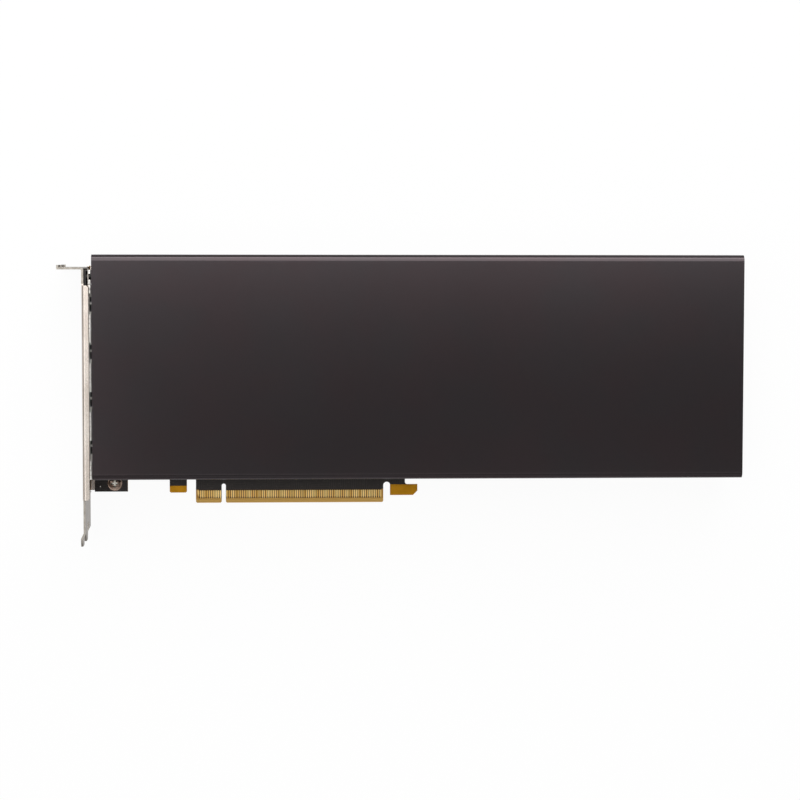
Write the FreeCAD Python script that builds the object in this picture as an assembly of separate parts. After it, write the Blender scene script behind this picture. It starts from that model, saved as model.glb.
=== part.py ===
import FreeCAD, Part
import math
import os

# A passively cooled, two-slot accelerator card for a server.
#
# The card lies flat.  The origin is on the edge connector: the middle of its key notch, on the
# lowest edge of the contact fingers, at the component face of the circuit board.
#   +X runs along the card from the slot bracket to the tail
#   +Y runs across the card from the contact fingers to its top edge
#   +Z leaves the component face, through the heat sink, to the face of the cover
# All sizes are in millimetres.

V = FreeCAD.Vector

# ---------------------------------------------------------------- circuit board
BOARD_THICKNESS = 1.57
BOARD_TOP = 111.15            # fingers' lowest edge to the card's top edge
BOARD_EDGE = 11.5             # fingers' lowest edge to the main lower edge
BOARD_TAIL_INSET = 3.0        # cover's tail end to the board's tail end
BRACKET_TO_BOARD = 1.9        # bracket's inner face to the board

KEY_WIDTH = 1.9
KEY_DEPTH = 8.75
FINGERS_SHORT = 11.65         # contact stretch on the bracket's side of the key
FINGERS_LONG = 71.65          # contact stretch on the tail's side of the key
FINGER_CORNER = 0.5
BEVEL_HEIGHT = 1.9
BEVEL_DEPTH = 0.45

CONTACT_PITCH = 1.0
CONTACT_WIDTH = 0.7
CONTACT_TOP = 5.7
CONTACT_GAP = 0.15            # end of a contact to the bevel
CONTACT_PLATING = 0.05
CONTACT_SHORTER = 1.1         # how much shorter a last-mating contact is
SHORT_IN_FRONT = (1,)         # numbers of the last-mating contacts on the component face
SHORT_BEHIND = (17, 31, 48, 81)
FIRST_CONTACT = 1.5           # key's middle to the nearest contact

FOOT_TAB_WIDTH = 14.9         # board's tab under the bracket's screw
FOOT_TAB_BOTTOM = 5.3
GUIDE_TAB_CENTRE = 20.6       # key's middle to the small guide tab, towards the bracket
GUIDE_TAB_WIDTH = 7.75
GUIDE_TAB_BOTTOM = 4.75
GUIDE_PLATING_TOP = 7.86
HOOK_GAP = 3.15
HOOK_GAP_TOP = 9.3
HOOK_NECK = 6.75
HOOK_LENGTH = 12.45
HOOK_BOTTOM = 3.2
HOOK_TOP = 8.1
HOOK_CHAMFER = 2.0
HOOK_FILLET = 1.2
TEST_PAD_RADIUS = 0.55
TEST_PAD_FROM_END = 2.5
TEST_PAD_FROM_TAB = 2.4

# ---------------------------------------------------------------- slot bracket
BRACKET_FROM_KEY = 60.2       # key's middle to the bracket's inner face
BRACKET_SHEET = 0.9
BRACKET_REAR = 3.71           # component face to the bracket's rear edge
BRACKET_WIDTH = 38.74
BRACKET_SHOULDER = 4.85
SLOT_PITCH = 20.32
TONGUE_WIDTH = 10.19
TONGUE_CENTRE = 5.5           # component face to the middle of the first tongue
TONGUE_ROOT = 6.9             # fingers' lowest edge down to the fork between the tongues
TONGUE_TIP = 16.1             # fingers' lowest edge down to the tongues' tips
TONGUE_JOGGLE = 1.2
TONGUE_TAPER = 1.6
TONGUE_BEND_DROP = 3.2        # fork to the start of the joggle
TONGUE_BEND_HEIGHT = 2.5
EAR_SEAT = 106.2
EAR_REACH = 10.8              # bracket's outer face to the ear's tip
EAR_LIP = 1.0
EAR_NOTCH_WIDTH = 4.42
EAR_NOTCH_DEPTH = 6.6
EAR_NOTCH_FROM_REAR = 4.8
BEND_INSIDE = 0.5

FOOT_WIDTH = 6.4
FOOT_REACH = 15.9
FOOT_LOW = 9.1                # height of the lower foot's screw
FOOT_HIGH = 104.4             # height of the upper foot's screw
FOOT_SCREW_FROM_BRACKET = 11.0
FOOT_RELIEF = 0.6
FOOT_SCREW_RADIUS = 1.45
FOOT_HEAD_RADIUS = 3.3
FOOT_HEAD_HEIGHT = 2.1
FOOT_HEAD_CROWN = 0.9         # height of the head's tapered crown
FOOT_CROWN_RADIUS = 2.3
SCREW_PAST_FOOT = 0.9

FLANGE_REACH = 3.0            # bracket's outer face to the free edge of the flange along its front edge
FLANGE_TOP = 99.2
FLANGE_CHAMFER = 0.8
FLANGE_RELIEF = 0.8

VENT_WIDTH = 3.4
VENT_PITCH = 5.35
VENT_ABOVE_PORTS = 3.68       # port windows' front edge to the vents
VENT_FIRST = 12.6
VENT_COUNT = 16
VENT_RIM = 2.6                # vent's end to the bracket's front edge

# ---------------------------------------------------------------- video ports
PORT_COUNT = 4
PORT_AFTER_FOOT = 8.6         # lower foot's screw to the nearest port
PORT_BEFORE_FOOT = 5.45       # upper foot's screw to the nearest port
PORT_WIDTH = 17.2
PORT_HEIGHT = 6.2
PORT_DEPTH = 18.4
PORT_SHEET = 0.45
PORT_RECESS = 0.2             # bracket's outer face to the shell's mouth
PORT_CLEARANCE = 0.15
PORT_CORNER = 1.6
PORT_MOUTH_DEPTH = 12.0
TONGUE_BLADE_WIDTH = 12.4
TONGUE_BLADE_THICKNESS = 1.0
TONGUE_BLADE_RECESS = 1.6
LATCH_LONG = 3.3
LATCH_SHORT = 2.3
LATCH_BAR = 1.0
LATCH_REACH = 6.5
LATCH_START = 1.2             # shell's mouth to its latch windows
LATCH_THICKNESS = 0.6
STRIP_SHEET = 0.3
STRIP_WIDTH = 3.1
STRIP_LOW = 12.7
STRIP_HIGH = 98.9
STRIP_SLIT = 0.5
STRIP_FINGER = 2.15
STRIP_SLIT_LENGTH = 2.6
STRIP_SLIT_CLEAR = 0.3        # a slit to the nearest latch window
STRIP_WINDOW_START = 0.6      # strip's edge on the bracket to its latch windows

# ---------------------------------------------------------------- cover
BRACKET_TO_COVER = 3.4
COVER_LENGTH = 287.85
COVER_BOTTOM = 13.7
COVER_FACE = 34.79            # component face to the cover's face
COVER_SHEET = 1.5
COVER_BEND = 2.7
COVER_TO_BOARD_EDGE = 0.05
COVER_FOOT_GAP = 0.2
COVER_SCREW_HEIGHT = 8.2
COVER_SCREW_RADIUS = 1.2
COVER_HEAD_RADIUS = 2.3
COVER_SCREW_LENGTH = 4.0
COVER_SCREW_INSET = 18.7      # end of the heat sink's base to the nearest cover screw
TAPPED_DEPTH = 0.3            # a tapped hole past the end of its screw
THREAD_GAP = 0.05

# ---------------------------------------------------------------- cross recesses, as shares of a head
CROSS_LENGTH = 1.24
CROSS_WIDTH = 0.26

# ---------------------------------------------------------------- back plate
BACK_GAP = 1.0
BACK_SHEET = 1.0
BACK_BOTTOM = 14.6
BACK_TOP_CLEARANCE = 0.3
BACK_LEFT_INSET = 8.0
BACK_TAIL_INSET = 1.4
BACK_CORNER = 3.0
BACK_BOSS_RADIUS = 3.1
BACK_SCREW_RADIUS = 1.2
BACK_HEAD_RADIUS = 2.3
BACK_SCREW_BITE = 3.0
BOARD_HOLE_CLEARANCE = 0.2
GPU_ACCESS_RADIUS = 3.9

# ---------------------------------------------------------------- processor and memory
GPU_FROM_REAR_PLATE = 73.3    # processor's middle to the rear cooling plate
GPU_Y = 63.0
SUBSTRATE_SIDE = 50.0
SUBSTRATE_THICKNESS = 1.6
STIFFENER_WIDTH = 4.0
STIFFENER_HEIGHT = 0.8
DIE_LENGTH = 31.0
DIE_WIDTH = 26.0
DIE_THICKNESS = 0.8
INTERFACE_THICKNESS = 0.1
MEMORY_LENGTH = 14.0
MEMORY_WIDTH = 12.0
MEMORY_THICKNESS = 1.1
MEMORY_PITCH = 14.0
MEMORY_GAP = 4.0
MEMORY_ROW_PITCH = 17.0
GPU_SCREW_X = 27.0            # processor's middle to a retention screw, along the card
GPU_SCREW_Y = 31.0
GPU_SCREW_RADIUS = 1.2
GPU_HEAD_RADIUS = 2.9
GPU_HEAD_HEIGHT = 1.4

# ---------------------------------------------------------------- power stages at the tail
STAGE_FRONT = 8.0             # rear cooling plate's front edge to the first choke
CHOKE_LENGTH = 10.0
CHOKE_WIDTH = 8.0
CHOKE_HEIGHT = 5.0
CHOKE_PITCH = 11.0
CHOKE_COUNT = 7
CHOKE_ROW_PITCH = 26.0
STAGE_LENGTH = 6.0
STAGE_WIDTH = 5.0
STAGE_HEIGHT = 0.9
STAGE_OFFSET = 3.9
STAGE_PAD = 1.0
CHOKE_PAD = 0.5
CHOKE_PAD_INSET = 1.0
CAN_RADIUS = 4.0
CAN_HEIGHT = 11.0
CAN_COUNT = 6
CAN_PITCH = 9.4
CAN_BASE = 1.2
CAN_BASE_OVERHANG = 0.15
CAN_BASE_CHAMFER = 1.2
CAN_GROOVE_HEIGHT = 1.76      # top of the foot to the groove
CAN_GROOVE_WIDTH = 0.5
CAN_GROOVE_DEPTH = 0.35
CAN_FROM_PLATE = 2.0
CAN_FROM_SKIRT = 4.0
CHIP_CAP_FROM_CHOKE = 0.8
CHOKE_CHAMFER = 0.5
CHIP_CAP_LENGTH = 7.3
CHIP_CAP_WIDTH = 4.3
CHIP_CAP_HEIGHT = 1.8

POWER_WIDTH = 19.0
POWER_LENGTH = 19.0
POWER_HEIGHT = 12.6
POWER_MIDDLE = 32.5
POWER_COLUMNS = 4
POWER_PITCH = 4.2
POWER_CELL = 3.5
POWER_CELL_DEPTH = 11.0
POWER_PIN = 0.9
POWER_PIN_LENGTH = 9.0
POWER_TAIL_GAP = 0.6
POWER_LATCH_BACK = 6.5        # connector's mouth to the far side of its latch
POWER_LATCH_FRONT = 3.0
POWER_LATCH_WIDTH = 5.0
POWER_LATCH_HEIGHT = 1.4

# ---------------------------------------------------------------- heat sink
BASE_THICKNESS = 3.5
BASE_FRONT = 36.0             # key's middle to the base's front edge, towards the bracket
BASE_SCREW_FRONT = 8.4        # base's front edge to the first screws of the back plate
BASE_SCREW_REAR = 6.5
SCREW_BEFORE_GPU = 48.5       # processor's middle to the screws on the bracket's side of it
SCREW_AFTER_GPU = 28.1
RAIL_WIDTH = 3.0
RAIL_TOP = 12.0
PILLAR_RADIUS = 2.7
CHAMBER_HALF = 23.4
CHAMBER_GAP = 0.1
REAR_PLATE_GAP = 0.3
REAR_PLATE_LENGTH = 49.0
REAR_PLATE_THICKNESS = 3.0
REAR_PLATE_FROM_TAIL = 30.75  # cover's tail end to the rear cooling plate
FIN_PITCH = 2.0
FIN_SHEET = 0.4
FIN_SIDE_GAP = 0.3
FIN_COVER_GAP = 0.3
FIN_FRONT = 54.0              # key's middle to the fins' front face, towards the bracket
FIN_PORT_LEVEL = 9.5          # underside of the fins over the video ports
FIN_BRACE_LIMIT = 101.4

# ---------------------------------------------------------------- brace and tail frame
BRACE_SHEET = 1.0
BRACE_LOW = 99.1
BRACE_WEB = 102.7
BRACE_REAR = 5.0
BRACE_COVER_GAP = 0.29        # brace to the underside of the cover's face
BRACE_FOOT_TOP = 11.4
BRACE_FOOT_END = 110.8
RIVET_RADIUS = 1.0
RIVET_HEAD_RADIUS = 1.6
RIVET_HEAD_HEIGHT = 0.7
RIVET_CROWN_RADIUS = 0.9
RIVET_INSET = 7.0             # brace's rear and front edges to the rivets
RIVET_LEVEL = 100.9

TAIL_SHEET = 1.5
TAIL_INSET = 1.25             # cover's tail end to the frame's outer face
TAIL_BORDER = 3.6
TAIL_SIDE = 10.5              # width of the solid sides that carry the threaded bosses
TAIL_WEB = 3.0
POWER_WINDOW_GAP = 1.0        # power connector to the sides of its window
POWER_WINDOW_LOW = 0.8
POWER_WINDOW_HEADROOM = 2.4
FRAME_FOOT_GAP = 0.3          # component face's level to the frame's lowest edge
BOSS_RADIUS = 3.4
BOSS_LENGTH = 5.0
BOSS_BORE = 1.25
BOSS_LEVEL = 27.8
BOSS_FROM_SKIRT = 5.2
BOSS_HOLE = 1.6

# ---------------------------------------------------------------- places that follow from the sizes
plate_in = -BRACKET_FROM_KEY
plate_out = plate_in - BRACKET_SHEET
board_left = plate_in + BRACKET_TO_BOARD
cover_left = plate_in + BRACKET_TO_COVER
cover_right = cover_left + COVER_LENGTH
board_right = cover_right - BOARD_TAIL_INSET
solder = -BOARD_THICKNESS
back_in = solder - BACK_GAP
back_out = back_in - BACK_SHEET

skirt_low = COVER_BOTTOM + COVER_SHEET
skirt_high = BOARD_TOP + COVER_TO_BOARD_EDGE
cover_top = skirt_high + COVER_SHEET
cover_under = COVER_FACE - COVER_SHEET
inner_bend = max(COVER_BEND - COVER_SHEET, 0.2)

base_low = SUBSTRATE_THICKNESS + DIE_THICKNESS + INTERFACE_THICKNESS
base_high = base_low + BASE_THICKNESS
base_left = -BASE_FRONT
rear_right = cover_right - REAR_PLATE_FROM_TAIL
rear_left = rear_right - REAR_PLATE_LENGTH
base_right = rear_left - REAR_PLATE_GAP
gpu_x = rear_left - GPU_FROM_REAR_PLATE
rear_low = CHOKE_HEIGHT + CHOKE_PAD
rear_high = rear_low + REAR_PLATE_THICKNESS
fin_top = cover_under - FIN_COVER_GAP
fin_low_side = skirt_low + RAIL_WIDTH + FIN_SIDE_GAP
fin_high_side = skirt_high - RAIL_WIDTH - FIN_SIDE_GAP

frame_out = cover_right - TAIL_INSET
frame_in = frame_out - TAIL_SHEET
power_right = board_right - POWER_TAIL_GAP
power_left = power_right - POWER_LENGTH
fastener_low = skirt_low + 2 * RAIL_WIDTH
fastener_high = skirt_high - 2 * RAIL_WIDTH

finger_left = -KEY_WIDTH / 2 - FINGERS_SHORT
finger_right = KEY_WIDTH / 2 + FINGERS_LONG
hook_left = finger_right + HOOK_GAP
guide_left = -GUIDE_TAB_CENTRE - GUIDE_TAB_WIDTH / 2
guide_right = guide_left + GUIDE_TAB_WIDTH

port_low = FOOT_LOW + PORT_AFTER_FOOT + PORT_WIDTH / 2
port_high = FOOT_HIGH - PORT_BEFORE_FOOT - PORT_WIDTH / 2
port_pitch = (port_high - port_low) / (PORT_COUNT - 1)
port_middles = [port_low + port_pitch * n for n in range(PORT_COUNT)]
foot_screw_x = plate_in + FOOT_SCREW_FROM_BRACKET
choke_rows = [rear_left + STAGE_FRONT + CHOKE_LENGTH / 2 + CHOKE_ROW_PITCH * n for n in range(2)]
stage_middle = sum(choke_rows) / 2
base_screws = [(x, y) for x in (base_left + BASE_SCREW_FRONT, gpu_x - SCREW_BEFORE_GPU,
                                gpu_x + SCREW_AFTER_GPU, base_right - BASE_SCREW_REAR)
               for y in (fastener_low, fastener_high)]
rear_screws = [(rear_right - RAIL_WIDTH, y) for y in (fastener_low, fastener_high)]
gpu_screws = [(gpu_x + sx * GPU_SCREW_X, GPU_Y + sy * GPU_SCREW_Y) for sx in (-1, 1) for sy in (-1, 1)]
base_cover_screws = [base_left + COVER_SCREW_INSET, (base_left + base_right) / 2,
                     base_right - COVER_SCREW_INSET]
rear_cover_screws = [(rear_left + rear_right) / 2]
cover_screw_places = base_cover_screws + rear_cover_screws
bracket_front = BRACKET_WIDTH - BRACKET_REAR
bend_start = bracket_front - BEND_INSIDE - BRACKET_SHEET
brace_front = cover_under - BRACE_COVER_GAP
rivet_heights = (BRACE_REAR + RIVET_INSET, brace_front - RIVET_INSET)
boss_middles = (skirt_low + BOSS_FROM_SKIRT, skirt_high - BOSS_FROM_SKIRT)


# ---------------------------------------------------------------- small helpers
def box(x, y, z):
    """A block between the limits given as (low, high) pairs."""
    return Part.makeBox(x[1] - x[0], y[1] - y[0], z[1] - z[0], V(x[0], y[0], z[0]))


def about(middle, width):
    """The (low, high) limits of a width centred on a place."""
    return middle - width / 2, middle + width / 2


def rod(radius, start, end):
    """A round bar from one point to another."""
    run = V(*end) - V(*start)
    return Part.makeCylinder(radius, run.Length, V(*start), run)


def cone(radius_start, radius_end, start, end):
    """A tapered round bar from one point to another."""
    run = V(*end) - V(*start)
    return Part.makeCone(radius_start, radius_end, run.Length, V(*start), run)


def fuse(shapes):
    """One solid from several that touch."""
    whole = shapes[0].multiFuse(shapes[1:]) if len(shapes) > 1 else shapes[0]
    return whole.removeSplitter()


def outline(steps, close=True):
    """A wire through points; a pair of points in a step is an arc: the way through, then its end."""
    here = steps[0]
    edges = []
    for step in list(steps[1:]) + ([steps[0]] if close else []):
        if isinstance(step, tuple):
            edges.append(Part.Arc(here, step[0], step[1]).toShape())
            here = step[1]
        elif (step - here).Length > 1e-6:
            edges.append(Part.LineSegment(here, step).toShape())
            here = step
    return Part.Wire(edges)


def quarter(corner, start, end):
    """The step of a rounded corner: an arc from start to end, inside the square corner."""
    centre = start + end - corner
    radius = (start - centre).Length
    middle = centre + (corner - centre).normalize() * radius
    return middle, end


def prism(wire, direction):
    """The solid that a closed wire sweeps along a direction."""
    return Part.Face(wire).extrude(direction)


def xy(x, y, z=0.0):
    return V(x, y, z)


def yz(y, z, x=0.0):
    return V(x, y, z)


def stadium_hole(y_middle, width, z_low, z_high, x):
    """A slot with round ends along Z, through the sheet between two X limits."""
    r = width / 2
    steps = [yz(y_middle - r, z_low + r, x[0]),
             (yz(y_middle, z_low, x[0]), yz(y_middle + r, z_low + r, x[0])),
             yz(y_middle + r, z_high - r, x[0]),
             (yz(y_middle, z_high, x[0]), yz(y_middle - r, z_high - r, x[0]))]
    return prism(outline(steps), V(x[1] - x[0], 0, 0))


def rounded_plate(x, y, z, radius):
    """A plate with four round corners, square to Z."""
    steps = [xy(x[0] + radius, y[0], z[0]), xy(x[1] - radius, y[0], z[0]),
             quarter(xy(x[1], y[0], z[0]), xy(x[1] - radius, y[0], z[0]), xy(x[1], y[0] + radius, z[0])),
             xy(x[1], y[1] - radius, z[0]),
             quarter(xy(x[1], y[1], z[0]), xy(x[1], y[1] - radius, z[0]), xy(x[1] - radius, y[1], z[0])),
             xy(x[0] + radius, y[1], z[0]),
             quarter(xy(x[0], y[1], z[0]), xy(x[0] + radius, y[1], z[0]), xy(x[0], y[1] - radius, z[0])),
             xy(x[0], y[0] + radius, z[0]),
             quarter(xy(x[0], y[0], z[0]), xy(x[0], y[0] + radius, z[0]), xy(x[0] + radius, y[0], z[0]))]
    return prism(outline(steps), V(0, 0, z[1] - z[0]))


def uprights(block):
    """The edges of a block that run along Z."""
    return [edge for edge in block.Edges if abs(edge.tangentAt(edge.FirstParameter).z) > 0.99]


def cross_recess(radius, depth, top, axis):
    """The cross driven into a screw's head, to be cut from it."""
    side = V(-axis.y, axis.x, 0) if abs(axis.z) < 0.5 else V(1, 0, 0)
    other = axis.cross(side)
    arms = []
    for along, across in ((side, other), (other, side)):
        length, width = radius * CROSS_LENGTH, radius * CROSS_WIDTH
        corner = top - along * (length / 2) - across * (width / 2) - axis * depth
        base = [corner, corner + along * length, corner + along * length + across * width,
                corner + across * width]
        arms.append(prism(outline(base), axis * (depth * 2)))
    return arms[0].fuse(arms[1])


def flat_head_screw(head_radius, radius, head, tip):
    """A countersunk screw from the middle of its flush head to its tip."""
    head, tip = V(*head), V(*tip)
    axis = (head - tip).normalize()
    neck = head - axis * (head_radius - radius)
    taper = cone(head_radius, radius, head, neck)
    shank = rod(radius, neck, tip)
    return taper.fuse(shank).cut(cross_recess(head_radius, (head_radius - radius) * 0.8, head, axis))


# ---------------------------------------------------------------- circuit board
def board_outline():
    key = KEY_WIDTH / 2
    c = FINGER_CORNER
    gap = HOOK_GAP / 2
    gap_middle = finger_right + gap
    foot_right = board_left + FOOT_TAB_WIDTH
    hook_right = hook_left + HOOK_LENGTH
    neck_right = hook_left + HOOK_NECK
    return outline([
        xy(board_left, FOOT_TAB_BOTTOM), xy(foot_right, FOOT_TAB_BOTTOM), xy(foot_right, BOARD_EDGE),
        xy(guide_left, BOARD_EDGE), xy(guide_left, GUIDE_TAB_BOTTOM + c),
        xy(guide_left + c, GUIDE_TAB_BOTTOM), xy(guide_right - c, GUIDE_TAB_BOTTOM),
        xy(guide_right, GUIDE_TAB_BOTTOM + c), xy(guide_right, BOARD_EDGE),
        xy(finger_left, BOARD_EDGE), xy(finger_left, c), xy(finger_left + c, 0),
        xy(-key - c, 0), xy(-key, c), xy(-key, KEY_DEPTH - key),
        (xy(0, KEY_DEPTH), xy(key, KEY_DEPTH - key)), xy(key, c), xy(key + c, 0),
        xy(finger_right - c, 0), xy(finger_right, c), xy(finger_right, HOOK_GAP_TOP - gap),
        (xy(gap_middle, HOOK_GAP_TOP), xy(hook_left, HOOK_GAP_TOP - gap)),
        xy(hook_left, HOOK_BOTTOM), xy(hook_right - HOOK_CHAMFER, HOOK_BOTTOM),
        xy(hook_right, HOOK_BOTTOM + HOOK_CHAMFER), xy(hook_right, HOOK_TOP),
        xy(neck_right + HOOK_FILLET, HOOK_TOP),
        quarter(xy(neck_right, HOOK_TOP), xy(neck_right + HOOK_FILLET, HOOK_TOP),
                xy(neck_right, HOOK_TOP + HOOK_FILLET)),
        xy(neck_right, BOARD_EDGE), xy(board_right, BOARD_EDGE), xy(board_right, BOARD_TOP),
        xy(board_left, BOARD_TOP)])


def bevel_cutter(face, outwards):
    """The wedge taken off one face of the finger stretch along its lowest edge."""
    profile = outline([V(finger_left - 1, 0, face), V(finger_left - 1, 0, face - outwards * BEVEL_DEPTH),
                       V(finger_left - 1, BEVEL_HEIGHT, face)])
    return prism(profile, V(finger_right - finger_left + 2, 0, 0))


def circuit_board():
    board = prism(board_outline(), V(0, 0, -BOARD_THICKNESS))
    feet = [(foot_screw_x, y) for y in (FOOT_LOW, FOOT_HIGH)]
    holes = []
    for places, radius in ((feet, FOOT_SCREW_RADIUS), (base_screws + rear_screws, BACK_SCREW_RADIUS),
                           (gpu_screws, GPU_SCREW_RADIUS)):
        holes += [rod(radius + BOARD_HOLE_CLEARANCE, (x, y, 1), (x, y, solder - 1)) for x, y in places]
    board = board.cut(Part.makeCompound(holes))
    return board.cut(bevel_cutter(0, 1)).cut(bevel_cutter(solder, -1))


def contacts(face, direction, short):
    """The row of plated contacts on one face of the fingers."""
    reach = FIRST_CONTACT + CONTACT_PITCH * math.floor((FINGERS_LONG - FIRST_CONTACT) / CONTACT_PITCH)
    count_short = math.floor((FINGERS_SHORT - FIRST_CONTACT + KEY_WIDTH / 2) / CONTACT_PITCH)
    places = [-FIRST_CONTACT - CONTACT_PITCH * n for n in range(count_short, -1, -1)]
    while places[0] - CONTACT_WIDTH / 2 < finger_left + CONTACT_GAP:
        places.pop(0)
    place = FIRST_CONTACT
    while place <= reach + CONTACT_PITCH and place + CONTACT_WIDTH / 2 < finger_right - CONTACT_GAP:
        places.append(place)
        place += CONTACT_PITCH
    pads = []
    outer = face + direction * CONTACT_PLATING
    for number, x in enumerate(places, start=1):
        low = BEVEL_HEIGHT + CONTACT_GAP + (CONTACT_SHORTER if number in short else 0)
        pads.append(box(about(x, CONTACT_WIDTH), (low, CONTACT_TOP), (min(face, outer), max(face, outer))))
    return Part.makeCompound(pads)


def guide_plating():
    """Plated faces of the guide tab and the hook, and the test pad by the bracket."""
    pads = []
    c = FINGER_CORNER
    hook_right = hook_left + HOOK_LENGTH
    for face, direction in ((0, 1), (solder, -1)):
        low = face if direction > 0 else face - CONTACT_PLATING
        guide = outline([xy(guide_left, GUIDE_TAB_BOTTOM + c, low), xy(guide_left + c, GUIDE_TAB_BOTTOM, low),
                         xy(guide_right - c, GUIDE_TAB_BOTTOM, low),
                         xy(guide_right, GUIDE_TAB_BOTTOM + c, low),
                         xy(guide_right, GUIDE_PLATING_TOP, low), xy(guide_left, GUIDE_PLATING_TOP, low)])
        hook = outline([xy(hook_left, HOOK_BOTTOM, low), xy(hook_right - HOOK_CHAMFER, HOOK_BOTTOM, low),
                        xy(hook_right, HOOK_BOTTOM + HOOK_CHAMFER, low), xy(hook_right, HOOK_TOP, low),
                        xy(hook_left, HOOK_TOP, low)])
        pads += [prism(wire, V(0, 0, CONTACT_PLATING)) for wire in (guide, hook)]
    pad_x = board_left + TEST_PAD_FROM_END
    pad_y = FOOT_TAB_BOTTOM + TEST_PAD_FROM_TAB
    pads.append(rod(TEST_PAD_RADIUS, (pad_x, pad_y, 0), (pad_x, pad_y, CONTACT_PLATING)))
    return Part.makeCompound(pads)


# ---------------------------------------------------------------- slot bracket
def bracket_profile():
    """The bracket's side view: the plate, its bend and the ear with its small lip."""
    s = BRACKET_SHEET
    inside = BEND_INSIDE
    outside = inside + s
    tip = plate_out - EAR_REACH
    top = EAR_SEAT + s
    return outline([
        xy(plate_in, BRACKET_SHOULDER), xy(plate_in, top - outside),
        quarter(xy(plate_in, top), xy(plate_in, top - outside), xy(plate_in - outside, top)),
        xy(tip + s, top), xy(tip + s, top + EAR_LIP), xy(tip, top + EAR_LIP), xy(tip, EAR_SEAT),
        xy(plate_out - inside, EAR_SEAT),
        quarter(xy(plate_out, EAR_SEAT), xy(plate_out - inside, EAR_SEAT), xy(plate_out, EAR_SEAT - inside)),
        xy(plate_out, BRACKET_SHOULDER)])


def tongue(middle):
    """One tongue: its joggle from the side, trimmed to a tapered tip from the front."""
    s = BRACKET_SHEET
    j = TONGUE_JOGGLE
    bend_high = -TONGUE_ROOT - TONGUE_BEND_DROP
    bend_low = bend_high - TONGUE_BEND_HEIGHT
    z0, z1 = about(middle, TONGUE_WIDTH)
    side = outline([V(plate_out, -TONGUE_ROOT, z0), V(plate_in, -TONGUE_ROOT, z0), V(plate_in, bend_high, z0),
                    V(plate_in - j, bend_low, z0), V(plate_in - j, -TONGUE_TIP, z0),
                    V(plate_out - j, -TONGUE_TIP, z0), V(plate_out - j, bend_low, z0),
                    V(plate_out, bend_high, z0)])
    bent = prism(side, V(0, 0, TONGUE_WIDTH))
    t = TONGUE_TAPER
    x = plate_out - 2 * j
    front = outline([yz(-TONGUE_ROOT, z0, x), yz(-TONGUE_ROOT, z1, x), yz(-TONGUE_TIP + 2 * t, z1, x),
                     yz(-TONGUE_TIP, z1 - t, x), yz(-TONGUE_TIP, z0 + t, x), yz(-TONGUE_TIP + 2 * t, z0, x)])
    return bent.common(prism(front, V(s + 3 * j, 0, 0)))


def flange():
    """The stiffening flange bent inwards along the bracket's front edge."""
    s = BRACKET_SHEET
    c = FLANGE_CHAMFER
    low, front = BRACKET_SHOULDER, bracket_front
    end = plate_out + FLANGE_REACH
    outside = BEND_INSIDE + s
    side = outline([
        V(plate_out, low, bend_start),
        quarter(V(plate_out, low, front), V(plate_out, low, bend_start), V(plate_out + outside, low, front)),
        V(end, low, front), V(end, low, front - s), V(plate_in + BEND_INSIDE, low, front - s),
        quarter(V(plate_in, low, front - s), V(plate_in + BEND_INSIDE, low, front - s),
                V(plate_in, low, bend_start))])
    bent = prism(side, V(0, FLANGE_TOP - low, 0))
    z = bend_start
    face = outline([xy(plate_out, low, z), xy(end - c, low, z), xy(end, low + c, z), xy(end, FLANGE_TOP - c, z),
                    xy(end - c, FLANGE_TOP, z), xy(plate_out, FLANGE_TOP, z)])
    return bent.common(prism(face, V(0, 0, outside)))


def foot(middle):
    """A foot bent inwards from the plate, flat against the board's solder face."""
    s = BRACKET_SHEET
    low, high = solder - s, solder
    outside = BEND_INSIDE + s
    y0 = middle - FOOT_WIDTH / 2
    end = plate_in + FOOT_REACH
    top = high + 2 * s
    side = outline([
        V(plate_out, y0, low + outside),
        quarter(V(plate_out, y0, low), V(plate_out, y0, low + outside), V(plate_out + outside, y0, low)),
        V(end, y0, low), V(end, y0, high), V(plate_in + BEND_INSIDE, y0, high),
        quarter(V(plate_in, y0, high), V(plate_in + BEND_INSIDE, y0, high),
                V(plate_in, y0, high + BEND_INSIDE)),
        V(plate_in, y0, top), V(plate_out, y0, top)])
    return prism(side, V(0, FOOT_WIDTH, 0))


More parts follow.
